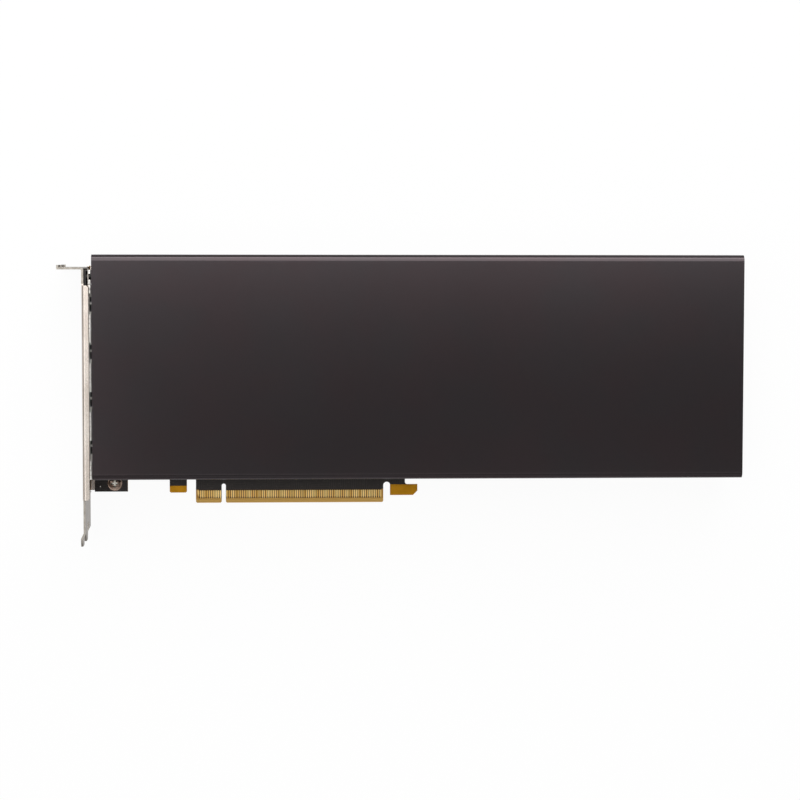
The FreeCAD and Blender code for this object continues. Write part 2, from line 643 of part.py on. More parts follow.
def io_bracket():
    s = BRACKET_SHEET
    rear = -BRACKET_REAR
    plate = prism(bracket_profile(), V(0, 0, BRACKET_WIDTH))
    plate.translate(V(0, 0, rear))
    middles = (TONGUE_CENTRE, TONGUE_CENTRE + SLOT_PITCH)
    web = box((plate_out, plate_in), (-TONGUE_ROOT, BRACKET_SHOULDER),
              (middles[0] - TONGUE_WIDTH / 2, middles[1] + TONGUE_WIDTH / 2))
    through = (plate_out - 1, plate_in + 1)
    cuts = [box(through, (BRACKET_SHOULDER - 1, FLANGE_TOP + FLANGE_RELIEF), (bend_start, bracket_front + 1))]
    for middle in (FOOT_LOW, FOOT_HIGH):
        cuts.append(box(through, about(middle, FOOT_WIDTH + 2 * FOOT_RELIEF), (rear - 1, solder + 2 * s)))
    for middle in port_middles:
        cuts.append(box(through, about(middle, PORT_WIDTH + 2 * PORT_CLEARANCE),
                        (-PORT_CLEARANCE, PORT_HEIGHT + PORT_CLEARANCE)))
    vent_low = PORT_HEIGHT + PORT_CLEARANCE + VENT_ABOVE_PORTS
    vent_high = bracket_front - VENT_RIM
    for n in range(VENT_COUNT):
        cuts.append(stadium_hole(VENT_FIRST + VENT_PITCH * n, VENT_WIDTH, vent_low, vent_high, through))
    for z in rivet_heights:
        cuts.append(rod(RIVET_RADIUS, (through[0], RIVET_LEVEL, z), (through[1], RIVET_LEVEL, z)))
    cuts += ear_notches(rear)
    plate = plate.cut(Part.makeCompound(cuts))
    parts = [plate, web, flange()] + [tongue(middle) for middle in middles]
    parts += [foot(middle) for middle in (FOOT_LOW, FOOT_HIGH)]
    bracket = fuse(parts)
    threads = [rod(FOOT_SCREW_RADIUS + THREAD_GAP, (foot_screw_x, y, solder + 1),
                   (foot_screw_x, y, solder - BRACKET_SHEET - 1)) for y in (FOOT_LOW, FOOT_HIGH)]
    return bracket.cut(Part.makeCompound(threads))


def ear_notches(rear):
    """The two notches that take the chassis screws: one at the ear's rear edge, one at its tip."""
    tip = plate_out - EAR_REACH
    r = EAR_NOTCH_WIDTH / 2
    y = (EAR_SEAT - 1, EAR_SEAT + BRACKET_SHEET + EAR_LIP + 1)
    middle = tip + EAR_NOTCH_DEPTH - r
    cuts = []
    for z in (rear + EAR_NOTCH_FROM_REAR, rear + EAR_NOTCH_FROM_REAR + SLOT_PITCH):
        cuts.append(rod(r, (middle, y[0], z), (middle, y[1], z)))
        cuts.append(box((tip - 1, middle), y, about(z, EAR_NOTCH_WIDTH)))
    return cuts


def bracket_screws():
    """Pan-head screws that clamp the board to the bracket's two feet."""
    screws = []
    for y in (FOOT_LOW, FOOT_HIGH):
        r = FOOT_HEAD_RADIUS
        tip = solder - BRACKET_SHEET - SCREW_PAST_FOOT
        rim = FOOT_HEAD_HEIGHT - FOOT_HEAD_CROWN
        head = rod(r, (foot_screw_x, y, 0), (foot_screw_x, y, rim))
        crown = cone(r, FOOT_CROWN_RADIUS, (foot_screw_x, y, rim), (foot_screw_x, y, FOOT_HEAD_HEIGHT))
        shank = rod(FOOT_SCREW_RADIUS, (foot_screw_x, y, 0), (foot_screw_x, y, tip))
        recess = cross_recess(r, FOOT_HEAD_HEIGHT * 0.6, V(foot_screw_x, y, FOOT_HEAD_HEIGHT), V(0, 0, 1))
        screws.append(fuse([head, crown, shank]).cut(recess))
    return Part.makeCompound(screws)


# ---------------------------------------------------------------- video ports
def latch_windows(middle):
    """The Y limits of the two windows in the top of a port, a long one and a short one."""
    total = LATCH_LONG + LATCH_BAR + LATCH_SHORT
    low = middle - total / 2
    return (low, low + LATCH_LONG), (low + LATCH_LONG + LATCH_BAR, low + total)


def port_shell(middle):
    """The plated steel shell of one port, open at its mouth and over its latches."""
    x0 = plate_out + PORT_RECESS
    x1 = x0 + PORT_DEPTH
    s = PORT_SHEET
    shell = box((x0, x1), about(middle, PORT_WIDTH), (0, PORT_HEIGHT))
    y0, y1 = about(middle, PORT_WIDTH - 2 * s)
    c = PORT_CORNER
    inside = outline([yz(y0, s + c, x0 - 1), yz(y0 + c, s, x0 - 1), yz(y1, s, x0 - 1),
                      yz(y1, PORT_HEIGHT - s, x0 - 1), yz(y0, PORT_HEIGHT - s, x0 - 1)])
    shell = shell.cut(prism(inside, V(1 + PORT_DEPTH - s, 0, 0)))
    for y in latch_windows(middle):
        shell = shell.cut(box((x0 + LATCH_START, x0 + LATCH_REACH), y,
                              (PORT_HEIGHT - 2 * s, PORT_HEIGHT + 1)))
    return shell


def port_core(middle):
    """The black insulator of one port: the block behind and the blade that carries the contacts."""
    x0 = plate_out + PORT_RECESS
    s = PORT_SHEET
    x1 = x0 + PORT_DEPTH - s
    y0, y1 = about(middle, PORT_WIDTH - 2 * s)
    c = PORT_CORNER
    back = x0 + PORT_MOUTH_DEPTH
    block = outline([yz(y0, s + c, back), yz(y0 + c, s, back), yz(y1, s, back), yz(y1, PORT_HEIGHT - s, back),
                     yz(y0, PORT_HEIGHT - s, back)])
    blade_middle = PORT_HEIGHT / 2
    blade = box((x0 + TONGUE_BLADE_RECESS, back), about(middle, TONGUE_BLADE_WIDTH),
                about(blade_middle, TONGUE_BLADE_THICKNESS))
    roof = PORT_HEIGHT - s
    latches = [box((x0 + LATCH_START, back), y, (roof - LATCH_THICKNESS, roof))
               for y in latch_windows(middle)]
    return fuse([prism(block, V(x1 - back, 0, 0)), blade] + latches)


def ground_strip():
    """The sprung contact strip that lies on the ports and presses on the bracket."""
    x = (plate_in, plate_in + STRIP_WIDTH)
    z = (PORT_HEIGHT, PORT_HEIGHT + STRIP_SHEET)
    strip = box(x, (STRIP_LOW, STRIP_HIGH), z)
    cuts = []
    for middle in port_middles:
        for y in latch_windows(middle):
            window = (x[0] + STRIP_WINDOW_START, plate_out + PORT_RECESS + LATCH_REACH)
            cuts.append(box(window, y, (z[0] - 1, z[1] + 1)))
    windows = [latch_windows(middle) for middle in port_middles]
    place = STRIP_LOW + STRIP_FINGER
    while place < STRIP_HIGH - STRIP_FINGER / 2:
        clear = all(place + STRIP_SLIT < w[0][0] - STRIP_SLIT_CLEAR or
                    place - STRIP_SLIT > w[1][1] + STRIP_SLIT_CLEAR for w in windows)
        if clear:
            cuts.append(box((x[0] - 1, x[0] + STRIP_SLIT_LENGTH), about(place, STRIP_SLIT),
                            (z[0] - 1, z[1] + 1)))
        place += STRIP_FINGER
    return strip.cut(Part.makeCompound(cuts))


# ---------------------------------------------------------------- cover
def channel_profile(x, inset, radius, z_low_skirt, z_high_skirt):
    """The cover's end view at an inset from its outer faces, closed on the board's side."""
    low, high, top = COVER_BOTTOM + inset, cover_top - inset, COVER_FACE - inset
    return outline([
        yz(low, z_low_skirt, x), yz(low, top - radius, x),
        quarter(yz(low, top, x), yz(low, top - radius, x), yz(low + radius, top, x)),
        yz(high - radius, top, x),
        quarter(yz(high, top, x), yz(high - radius, top, x), yz(high, top - radius, x)),
        yz(high, z_high_skirt, x)])


def cover():
    """The folded cover: a long channel with plain ends, its upper skirt past the board's top edge."""
    length = V(COVER_LENGTH, 0, 0)
    outer = prism(channel_profile(cover_left, 0, COVER_BEND, COVER_FOOT_GAP, back_out), length)
    inner = prism(channel_profile(cover_left, COVER_SHEET, inner_bend, COVER_FOOT_GAP - 2, back_out - 2),
                  length)
    channel = outer.cut(inner)
    gap = THREAD_GAP
    for x in cover_screw_places:
        for face, inwards in ((COVER_BOTTOM, 1), (cover_top, -1)):
            taper = COVER_HEAD_RADIUS - COVER_SCREW_RADIUS
            neck = face + inwards * taper
            channel = channel.cut(cone(COVER_HEAD_RADIUS + gap, COVER_SCREW_RADIUS + gap,
                                       (x, face, COVER_SCREW_HEIGHT), (x, neck, COVER_SCREW_HEIGHT)))
            channel = channel.cut(rod(COVER_SCREW_RADIUS + gap, (x, neck, COVER_SCREW_HEIGHT),
                                      (x, face + inwards * (COVER_SHEET + 1), COVER_SCREW_HEIGHT)))
    return channel


def cover_screws():
    screws = []
    for x in cover_screw_places:
        for face, inwards in ((COVER_BOTTOM, 1), (cover_top, -1)):
            head = (x, face, COVER_SCREW_HEIGHT)
            tip = (x, face + inwards * COVER_SCREW_LENGTH, COVER_SCREW_HEIGHT)
            screws.append(flat_head_screw(COVER_HEAD_RADIUS, COVER_SCREW_RADIUS, head, tip))
    return Part.makeCompound(screws)


# ---------------------------------------------------------------- processor, memory, power stages
def gpu_substrate():
    return box(about(gpu_x, SUBSTRATE_SIDE), about(GPU_Y, SUBSTRATE_SIDE), (0, SUBSTRATE_THICKNESS))


def gpu_stiffener():
    z = (SUBSTRATE_THICKNESS, SUBSTRATE_THICKNESS + STIFFENER_HEIGHT)
    inside = SUBSTRATE_SIDE - 2 * STIFFENER_WIDTH
    ring = box(about(gpu_x, SUBSTRATE_SIDE), about(GPU_Y, SUBSTRATE_SIDE), z)
    return ring.cut(box(about(gpu_x, inside), about(GPU_Y, inside), (z[0] - 1, z[1] + 1)))


def gpu_die():
    z = (SUBSTRATE_THICKNESS, SUBSTRATE_THICKNESS + DIE_THICKNESS)
    return box(about(gpu_x, DIE_LENGTH), about(GPU_Y, DIE_WIDTH), z)


def thermal_interface():
    z0 = SUBSTRATE_THICKNESS + DIE_THICKNESS
    return box(about(gpu_x, DIE_LENGTH), about(GPU_Y, DIE_WIDTH), (z0, base_low))


def memory_places():
    """The middles of the memory packages around the processor, with their X and Y sizes."""
    half = SUBSTRATE_SIDE / 2 + MEMORY_GAP
    places = []
    for side in (-1, 1):
        for step in (-1.5, -0.5, 0.5, 1.5):
            places.append((gpu_x + side * (half + MEMORY_LENGTH / 2), GPU_Y + step * MEMORY_PITCH))
        for step in (-0.5, 0.5):
            places.append((gpu_x + step * MEMORY_ROW_PITCH, GPU_Y + side * (half + MEMORY_WIDTH / 2)))
    return places


def memory_stack(z0, z1):
    return Part.makeCompound([box(about(x, MEMORY_LENGTH), about(y, MEMORY_WIDTH), (z0, z1))
                              for x, y in memory_places()])


def choke_places():
    middle = (skirt_low + skirt_high) / 2
    return [(x, middle + (n - (CHOKE_COUNT - 1) / 2) * CHOKE_PITCH) for x in choke_rows
            for n in range(CHOKE_COUNT)]


def chokes():
    bodies = []
    for x, y in choke_places():
        body = box(about(x, CHOKE_LENGTH), about(y, CHOKE_WIDTH), (0, CHOKE_HEIGHT))
        bodies.append(body.makeChamfer(CHOKE_CHAMFER, uprights(body)))
    return Part.makeCompound(bodies)


def choke_pads():
    return Part.makeCompound([box(about(x, CHOKE_LENGTH - 2 * CHOKE_PAD_INSET),
                                  about(y, CHOKE_WIDTH - CHOKE_PAD_INSET), (CHOKE_HEIGHT, rear_low))
                              for x, y in choke_places()])


def stage_places():
    ys = sorted({y for _, y in choke_places()})
    return [(stage_middle + side * STAGE_OFFSET, y) for side in (-1, 1) for y in ys]


def power_stages():
    return Part.makeCompound([box(about(x, STAGE_LENGTH), about(y, STAGE_WIDTH), (0, STAGE_HEIGHT))
                              for x, y in stage_places()])


def stage_pad_limits():
    ys = [y for _, y in choke_places()]
    return (about(stage_middle, 2 * STAGE_OFFSET + STAGE_LENGTH),
            (min(ys) - CHOKE_WIDTH / 2, max(ys) + CHOKE_WIDTH / 2))


def stage_pad():
    x, y = stage_pad_limits()
    return box(x, y, (STAGE_HEIGHT, STAGE_HEIGHT + STAGE_PAD))


def chip_capacitors():
    """Low moulded capacitors beside the first row of chokes."""
    x = choke_rows[0] - CHOKE_LENGTH / 2 - CHIP_CAP_WIDTH / 2 - CHIP_CAP_FROM_CHOKE
    ys = sorted({y for _, y in choke_places()})
    return Part.makeCompound([box(about(x, CHIP_CAP_WIDTH), about(y, CHIP_CAP_LENGTH), (0, CHIP_CAP_HEIGHT))
                              for y in ys])


def can_places():
    x = rear_right + CAN_FROM_PLATE + CAN_RADIUS
    high = skirt_high - CAN_FROM_SKIRT - CAN_RADIUS
    return [(x, high - n * CAN_PITCH) for n in range(CAN_COUNT)]


def can_capacitors():
    """Upright polymer capacitors between the fins and the tail."""
    cans = []
    for x, y in can_places():
        can = rod(CAN_RADIUS, (x, y, CAN_BASE), (x, y, CAN_HEIGHT))
        groove = CAN_BASE + CAN_GROOVE_HEIGHT
        ring = rod(CAN_RADIUS + 1, (x, y, groove), (x, y, groove + CAN_GROOVE_WIDTH))
        waist = rod(CAN_RADIUS - CAN_GROOVE_DEPTH, (x, y, groove - 1), (x, y, groove + 2))
        cans.append(can.cut(ring.cut(waist)))
    return Part.makeCompound(cans)


def can_bases():
    """The square moulded feet of the upright capacitors."""
    side = 2 * (CAN_RADIUS + CAN_BASE_OVERHANG)
    feet = []
    for x, y in can_places():
        foot_block = box(about(x, side), about(y, side), (0, CAN_BASE))
        corners = [edge for edge in uprights(foot_block) if edge.CenterOfMass.x > x]
        feet.append(foot_block.makeChamfer(CAN_BASE_CHAMFER, corners))
    return Part.makeCompound(feet)


def power_cells():
    """The Y and Z middles of the power connector's cells."""
    cells = []
    for row in (-0.5, 0.5):
        for column in range(POWER_COLUMNS):
            y = POWER_MIDDLE + (column - (POWER_COLUMNS - 1) / 2) * POWER_PITCH
            cells.append((y, POWER_HEIGHT / 2 + row * POWER_PITCH))
    return cells


def power_connector():
    """The power connector's housing, its cells open towards the tail."""
    body = box((power_left, power_right), about(POWER_MIDDLE, POWER_WIDTH), (0, POWER_HEIGHT))
    cell_x = (power_right - POWER_CELL_DEPTH, power_right + 1)
    cells = [box(cell_x, about(y, POWER_CELL), about(z, POWER_CELL)) for y, z in power_cells()]
    latch = box((power_right - POWER_LATCH_BACK, power_right - POWER_LATCH_FRONT),
                about(POWER_MIDDLE, POWER_LATCH_WIDTH), (POWER_HEIGHT, POWER_HEIGHT + POWER_LATCH_HEIGHT))
    return body.cut(Part.makeCompound(cells)).fuse(latch).removeSplitter()


def power_pins():
    floor = power_right - POWER_CELL_DEPTH
    return Part.makeCompound([box((floor, floor + POWER_PIN_LENGTH), about(y, POWER_PIN), about(z, POWER_PIN))
                              for y, z in power_cells()])


# ---------------------------------------------------------------- heat sink
def rails(x):
    """The two side rails that the cover is screwed to, over the stretch x."""
    return [box(x, (skirt_low, skirt_low + RAIL_WIDTH), (base_low, RAIL_TOP)),
            box(x, (skirt_high - RAIL_WIDTH, skirt_high), (base_low, RAIL_TOP))]


def side_threads(places):
    """The tapped holes in the rails for the cover's screws."""
    depth = COVER_SCREW_LENGTH - COVER_SHEET + TAPPED_DEPTH
    r = COVER_SCREW_RADIUS + THREAD_GAP
    holes = []
    for x in places:
        for face, inwards in ((skirt_low, 1), (skirt_high, -1)):
            holes.append(rod(r, (x, face - inwards, COVER_SCREW_HEIGHT),
                             (x, face + inwards * depth, COVER_SCREW_HEIGHT)))
    return holes


def plate_with_pillars(x, z, screws, radius):
    """A cooling plate between the skirts, with the pillars that stand it on the board."""
    plate = box(x, (skirt_low, skirt_high), z)
    pillars = [rod(PILLAR_RADIUS, (sx, sy, 0), (sx, sy, z[0] + 0.5)) for sx, sy in screws]
    tapped = [rod(radius + THREAD_GAP, (sx, sy, -1), (sx, sy, z[0] + BACK_SCREW_BITE + TAPPED_DEPTH))
              for sx, sy in screws]
    return plate, pillars, tapped


def heat_sink_base():
    x = (base_left, base_right)
    plate, pillars, tapped = plate_with_pillars(x, (base_low, base_high), base_screws + gpu_screws,
                                                BACK_SCREW_RADIUS)
    window = CHAMBER_HALF + CHAMBER_GAP
    plate = plate.cut(box((gpu_x - window, gpu_x + window), (GPU_Y - window, GPU_Y + window),
                          (base_low - 1, base_high + 1)))
    body = fuse([plate] + pillars + rails(x))
    return body.cut(Part.makeCompound(tapped + side_threads(base_cover_screws)))


def vapour_chamber():
    half = CHAMBER_HALF
    return box((gpu_x - half, gpu_x + half), (GPU_Y - half, GPU_Y + half), (base_low, base_high))


def rear_cooling_plate():
    x = (rear_left, rear_right)
    plate, pillars, tapped = plate_with_pillars(x, (rear_low, rear_high), rear_screws, BACK_SCREW_RADIUS)
    pad_x, pad_y = stage_pad_limits()
    pedestal = box(pad_x, pad_y, (STAGE_HEIGHT + STAGE_PAD, rear_low + 0.5))
    body = fuse([plate, pedestal] + pillars + rails(x))
    return body.cut(Part.makeCompound(tapped + side_threads(rear_cover_screws)))


def fin_places():
    """The Y limits of each air channel between the folded fins."""
    room = fin_high_side - fin_low_side - FIN_SHEET
    count = math.floor(room / FIN_PITCH)
    start = (fin_low_side + fin_high_side) / 2 - (count * FIN_PITCH + FIN_SHEET) / 2
    return [(start + n * FIN_PITCH + FIN_SHEET, start + (n + 1) * FIN_PITCH) for n in range(count)]


def fin_block(x, z, channels):
    """A stack of folded fins whose flanges close it above and below, open at both ends."""
    def loop(y, levels):
        return outline([yz(y[0], levels[0], x[0]), yz(y[1], levels[0], x[0]),
                        yz(y[1], levels[1], x[0]), yz(y[0], levels[1], x[0])])

    around = loop((channels[0][0] - FIN_SHEET, channels[-1][1] + FIN_SHEET), z)
    inner = [loop(y, (z[0] + FIN_SHEET, z[1] - FIN_SHEET)) for y in channels]
    section = Part.makeFace([around] + inner, "Part::FaceMakerBullseye")
    return section.extrude(V(x[1] - x[0], 0, 0))


def fin_stack():
    """The main fins, which also reach forward over the video ports."""
    channels = fin_places()
    main = fin_block((base_left, base_right), (base_high, fin_top), channels)
    front = fin_block((-FIN_FRONT, base_left), (FIN_PORT_LEVEL, fin_top),
                      [y for y in channels if y[1] + FIN_SHEET < FIN_BRACE_LIMIT])
    return main.fuse(front).removeSplitter()


def rear_fin_stack():
    return fin_block((rear_left, rear_right), (rear_high, fin_top), fin_places())


# ---------------------------------------------------------------- brace, tail frame, back plate
def bracket_brace():
    """The black angle that ties the bracket's top to the heat sink's upper rail."""
    s = BRACE_SHEET
    z = (BRACE_REAR, brace_front)
    leaf = box((plate_in, plate_in + s), (BRACE_LOW, EAR_SEAT - BEND_INSIDE), z)
    web = box((plate_in, base_left), (BRACE_WEB, BRACE_WEB + s), z)
    ankle = box((base_left - s, base_left), (BRACE_WEB, BRACE_FOOT_END), (BRACE_REAR, BRACE_FOOT_TOP))
    brace = fuse([leaf, web, ankle])
    holes = [rod(RIVET_RADIUS, (plate_in - 1, RIVET_LEVEL, h), (plate_in + s + 1, RIVET_LEVEL, h))
             for h in rivet_heights]
    return brace.cut(Part.makeCompound(holes))


def brace_rivets():
    rivets = []
    for h in rivet_heights:
        inner = plate_in + BRACE_SHEET
        shank = rod(RIVET_RADIUS, (plate_out, RIVET_LEVEL, h), (inner, RIVET_LEVEL, h))
        heads = []
        for x, way in ((plate_out, -1), (inner, 1)):
            heads.append(cone(RIVET_HEAD_RADIUS, RIVET_CROWN_RADIUS, (x, RIVET_LEVEL, h),
                              (x + way * RIVET_HEAD_HEIGHT, RIVET_LEVEL, h)))
        rivets.append(fuse([shank] + heads))
    return Part.makeCompound(rivets)


def frame_windows():
    """The tail frame's windows: for air, and round the power connector."""
    side_low = skirt_low + TAIL_SIDE
    side_high = skirt_high - TAIL_SIDE
    power_low, power_high = about(POWER_MIDDLE, POWER_WIDTH + 2 * POWER_WINDOW_GAP)
    air_low = power_high + TAIL_WEB
    z_top = cover_under - TAIL_BORDER
    shelf = POWER_HEIGHT + POWER_WINDOW_HEADROOM
    return {"air": ((air_low, side_high), (TAIL_BORDER, z_top)),
            "over_power": ((side_low, power_high), (shelf + TAIL_WEB, z_top)),
            "power": ((power_low, power_high), (POWER_WINDOW_LOW, shelf))}


def tail_frame():
    """The stiffening frame across the cover's tail end."""
    frame = prism(channel_profile(frame_in, COVER_SHEET, inner_bend, FRAME_FOOT_GAP, FRAME_FOOT_GAP),
                  V(TAIL_SHEET, 0, 0))
    cuts = [box((frame_in - 1, frame_out + 1), y, z) for y, z in frame_windows().values()]
    for y in boss_middles:
        cuts.append(rod(BOSS_HOLE, (frame_in - 1, y, BOSS_LEVEL), (frame_out + 1, y, BOSS_LEVEL)))
    return frame.cut(Part.makeCompound(cuts))


def tail_bosses():
    """Threaded bosses behind the tail frame for a chassis support."""
    bosses = []
    for y in boss_middles:
        start, end = (frame_in - BOSS_LENGTH, y, BOSS_LEVEL), (frame_in, y, BOSS_LEVEL)
        bosses.append(rod(BOSS_RADIUS, start, end).cut(rod(BOSS_BORE, start, end)))
    return Part.makeCompound(bosses)


def back_plate():
    x = (board_left + BACK_LEFT_INSET, board_right - BACK_TAIL_INSET)
    y = (BACK_BOTTOM, BOARD_TOP - BACK_TOP_CLEARANCE)
    sheet = rounded_plate(x, y, (back_out, back_in), BACK_CORNER)
    notch = ((x[0] - 1, foot_screw_x + FOOT_SCREW_FROM_BRACKET), (FOOT_HIGH - FOOT_WIDTH, y[1] + 1))
    sheet = sheet.cut(box(*notch, (back_out - 1, back_in + 1)))
    screws = base_screws + rear_screws
    bosses = [rod(BACK_BOSS_RADIUS, (sx, sy, back_in - 0.2), (sx, sy, solder)) for sx, sy in screws]
    plate = fuse([sheet] + bosses)
    gap = THREAD_GAP
    cuts = []
    for sx, sy in screws:
        neck = back_out + BACK_HEAD_RADIUS - BACK_SCREW_RADIUS
        cuts.append(cone(BACK_HEAD_RADIUS + gap, BACK_SCREW_RADIUS + gap, (sx, sy, back_out), (sx, sy, neck)))
        cuts.append(rod(BACK_SCREW_RADIUS + gap, (sx, sy, neck), (sx, sy, solder + 1)))
    for sx, sy in gpu_screws:
        cuts.append(rod(GPU_ACCESS_RADIUS, (sx, sy, back_out - 1), (sx, sy, back_in + 1)))
    return plate.cut(Part.makeCompound(cuts))


def back_plate_screws():
    screws = []
    for places, level in ((base_screws, base_low), (rear_screws, rear_low)):
        for x, y in places:
            screws.append(flat_head_screw(BACK_HEAD_RADIUS, BACK_SCREW_RADIUS, (x, y, back_out),
                                          (x, y, level + BACK_SCREW_BITE)))
    return Part.makeCompound(screws)


def gpu_retention_screws():
    """Shoulder screws behind the processor that pull the heat sink onto it."""
    screws = []
    for x, y in gpu_screws:
        head = rod(GPU_HEAD_RADIUS, (x, y, solder - GPU_HEAD_HEIGHT), (x, y, solder))
        face = V(x, y, solder - GPU_HEAD_HEIGHT)
        head = head.cut(cross_recess(GPU_HEAD_RADIUS, GPU_HEAD_HEIGHT / 2, face, V(0, 0, -1)))
        screws.append(head.fuse(rod(GPU_SCREW_RADIUS, (x, y, solder), (x, y, base_low + BACK_SCREW_BITE))))
    return Part.makeCompound(screws)


# ---------------------------------------------------------------- the assembly
def pieces():
    """Every sub-part of the card by its name."""
    parts = {
        "circuit_board": circuit_board(),
        "contacts_component_side": contacts(0, 1, SHORT_IN_FRONT),
        "contacts_solder_side": contacts(solder, -1, SHORT_BEHIND),
        "guide_plating": guide_plating(),
        "io_bracket": io_bracket(),
        "bracket_screws": bracket_screws(),
        "bracket_brace": bracket_brace(),
        "brace_rivets": brace_rivets(),
        "ground_strip": ground_strip(),
        "cover": cover(),
        "cover_screws": cover_screws(),
        "tail_frame": tail_frame(),
        "tail_bosses": tail_bosses(),
        "back_plate": back_plate(),
        "back_plate_screws": back_plate_screws(),
        "gpu_retention_screws": gpu_retention_screws(),
        "gpu_substrate": gpu_substrate(),
        "gpu_stiffener": gpu_stiffener(),
        "gpu_die": gpu_die(),
        "thermal_interface": thermal_interface(),
        "memory_chips": memory_stack(0, MEMORY_THICKNESS),
        "memory_pads": memory_stack(MEMORY_THICKNESS, base_low),
        "chokes": chokes(),
        "choke_pads": choke_pads(),
        "power_stages": power_stages(),
        "power_stage_pad": stage_pad(),
        "chip_capacitors": chip_capacitors(),
        "can_capacitors": can_capacitors(),
        "can_capacitor_bases": can_bases(),
        "power_connector": power_connector(),
        "power_connector_pins": power_pins(),
        "heat_sink_base": heat_sink_base(),
        "vapour_chamber": vapour_chamber(),
        "fin_stack": fin_stack(),
        "rear_cooling_plate": rear_cooling_plate(),
        "rear_fin_stack": rear_fin_stack(),
    }
    for number, middle in enumerate(port_middles, start=1):
        parts[f"video_port_shell_{number}"] = port_shell(middle)
        parts[f"video_port_core_{number}"] = port_core(middle)
    return parts


def main():
    os.makedirs("parts", exist_ok=True)
    for name, shape in pieces().items():
        shape.exportStep(f"parts/{name}.step")
        print(f"{name}: {len(shape.Solids)} solids, {shape.Volume:.1f} mm3, valid {shape.isValid()}")


main()
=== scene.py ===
import logging
import math
from dataclasses import dataclass
from enum import Enum
from typing import Iterable, Sequence, Union

import bmesh
import bpy
from mathutils import Matrix, Vector


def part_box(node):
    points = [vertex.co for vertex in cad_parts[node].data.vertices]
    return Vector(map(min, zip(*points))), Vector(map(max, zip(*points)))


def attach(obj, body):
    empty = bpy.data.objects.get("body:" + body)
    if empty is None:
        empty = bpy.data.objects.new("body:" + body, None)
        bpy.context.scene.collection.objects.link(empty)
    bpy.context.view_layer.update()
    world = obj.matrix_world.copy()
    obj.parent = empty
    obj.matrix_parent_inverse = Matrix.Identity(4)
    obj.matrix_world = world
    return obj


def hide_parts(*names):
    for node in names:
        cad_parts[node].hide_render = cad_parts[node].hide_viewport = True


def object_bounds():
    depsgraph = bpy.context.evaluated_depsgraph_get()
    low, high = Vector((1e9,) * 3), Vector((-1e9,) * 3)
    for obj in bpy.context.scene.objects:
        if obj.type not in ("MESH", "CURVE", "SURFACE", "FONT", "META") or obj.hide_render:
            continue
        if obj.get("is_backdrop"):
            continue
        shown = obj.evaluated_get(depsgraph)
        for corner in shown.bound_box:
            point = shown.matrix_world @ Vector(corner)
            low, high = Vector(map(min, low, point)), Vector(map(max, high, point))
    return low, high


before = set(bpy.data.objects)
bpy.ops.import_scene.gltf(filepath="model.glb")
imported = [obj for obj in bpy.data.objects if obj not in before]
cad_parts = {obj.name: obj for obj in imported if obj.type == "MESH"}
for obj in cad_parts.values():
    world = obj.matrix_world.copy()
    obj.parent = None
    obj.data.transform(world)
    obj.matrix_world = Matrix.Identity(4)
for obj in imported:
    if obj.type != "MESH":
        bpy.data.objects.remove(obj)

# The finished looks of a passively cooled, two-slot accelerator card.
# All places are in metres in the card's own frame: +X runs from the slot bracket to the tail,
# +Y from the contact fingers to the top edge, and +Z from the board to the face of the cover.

MM = 0.001
BODY = "root"
WELD = 0.002 * MM                   # corners closer than this are one
SAME_PLANE = math.radians(0.4)      # faces that turn less than this are one
PORT_NUMBERS = range(1, 5)

logging.basicConfig(level=logging.INFO, format="%(message)s")
log = logging.getLogger("accelerator_card")

Corners = tuple[Vector, Vector]
Value = Union["Flow", float, Sequence[float]]


# ------------------------------------------------------------------------------ shader expressions
def linear(code: str) -> tuple[float, float, float, float]:
    """Turn a screen colour into the linear colour that a shader takes.

    Args:
        code: six hexadecimal digits, red, green and blue.

    Returns:
        The linear red, green and blue with an alpha of one.
    """
    parts = [int(code[n:n + 2], 16) / 255 for n in (0, 2, 4)]
    red, green, blue = [p / 12.92 if p <= 0.04045 else ((p + 0.055) / 1.055) ** 2.4 for p in parts]
    return red, green, blue, 1.0


class Flow:
    """A number or colour that flows out of a shader node; arithmetic on numbers adds Math nodes."""

    def __init__(self, recipe: "Recipe", socket: bpy.types.NodeSocket) -> None:
        """Wrap an output socket of a recipe's node."""
        self.recipe = recipe
        self.socket = socket

    def sibling(self, output: int | str) -> "Flow":
        """Give another output of the same node."""
        return Flow(self.recipe, self.socket.node.outputs[output])

    def math(self, operation: str, *values: Value) -> "Flow":
        """Add one Math node.

        Args:
            operation: the node's operation.
            values: its operands, flows or plain numbers.

        Returns:
            The node's result.
        """
        return self.recipe.node("ShaderNodeMath", {"operation": operation}, dict(enumerate(values)))

    def __add__(self, other: Value) -> "Flow":
        """Add a number or a flow."""
        return self.math("ADD", self, other)

    def __rsub__(self, other: Value) -> "Flow":
        """Subtract from a plain number."""
        return self.math("SUBTRACT", other, self)

    def __mul__(self, other: Value) -> "Flow":
        """Multiply by a number or a flow."""
        return self.math("MULTIPLY", self, other)

    def __truediv__(self, other: Value) -> "Flow":
        """Divide by a number or a flow."""
        return self.math("DIVIDE", self, other)

    def __abs__(self) -> "Flow":
        """Take the size without the sign."""
        return self.math("ABSOLUTE", self)

    def most(self, other: Value) -> "Flow":
        """Take the higher of this and another."""
        return self.math("MAXIMUM", self, other)

    def saw(self, pitch: float) -> "Flow":
        """Give the distance to the nearest line of a row that repeats at a pitch."""
        return abs(self.math("WRAP", self, pitch / 2, -pitch / 2))

    def rise(self, low: float, high: float) -> "Flow":
        """Climb smoothly from 0 to 1 between two limits; with the high limit first it falls."""
        flip = high < low
        limits = {"From Min": min(low, high), "From Max": max(low, high)}
        ends = {"To Min": float(flip), "To Max": 1.0 - flip}
        return self.recipe.node("ShaderNodeMapRange", {"interpolation_type": "SMOOTHSTEP"},
                                {"Value": self, **limits, **ends})


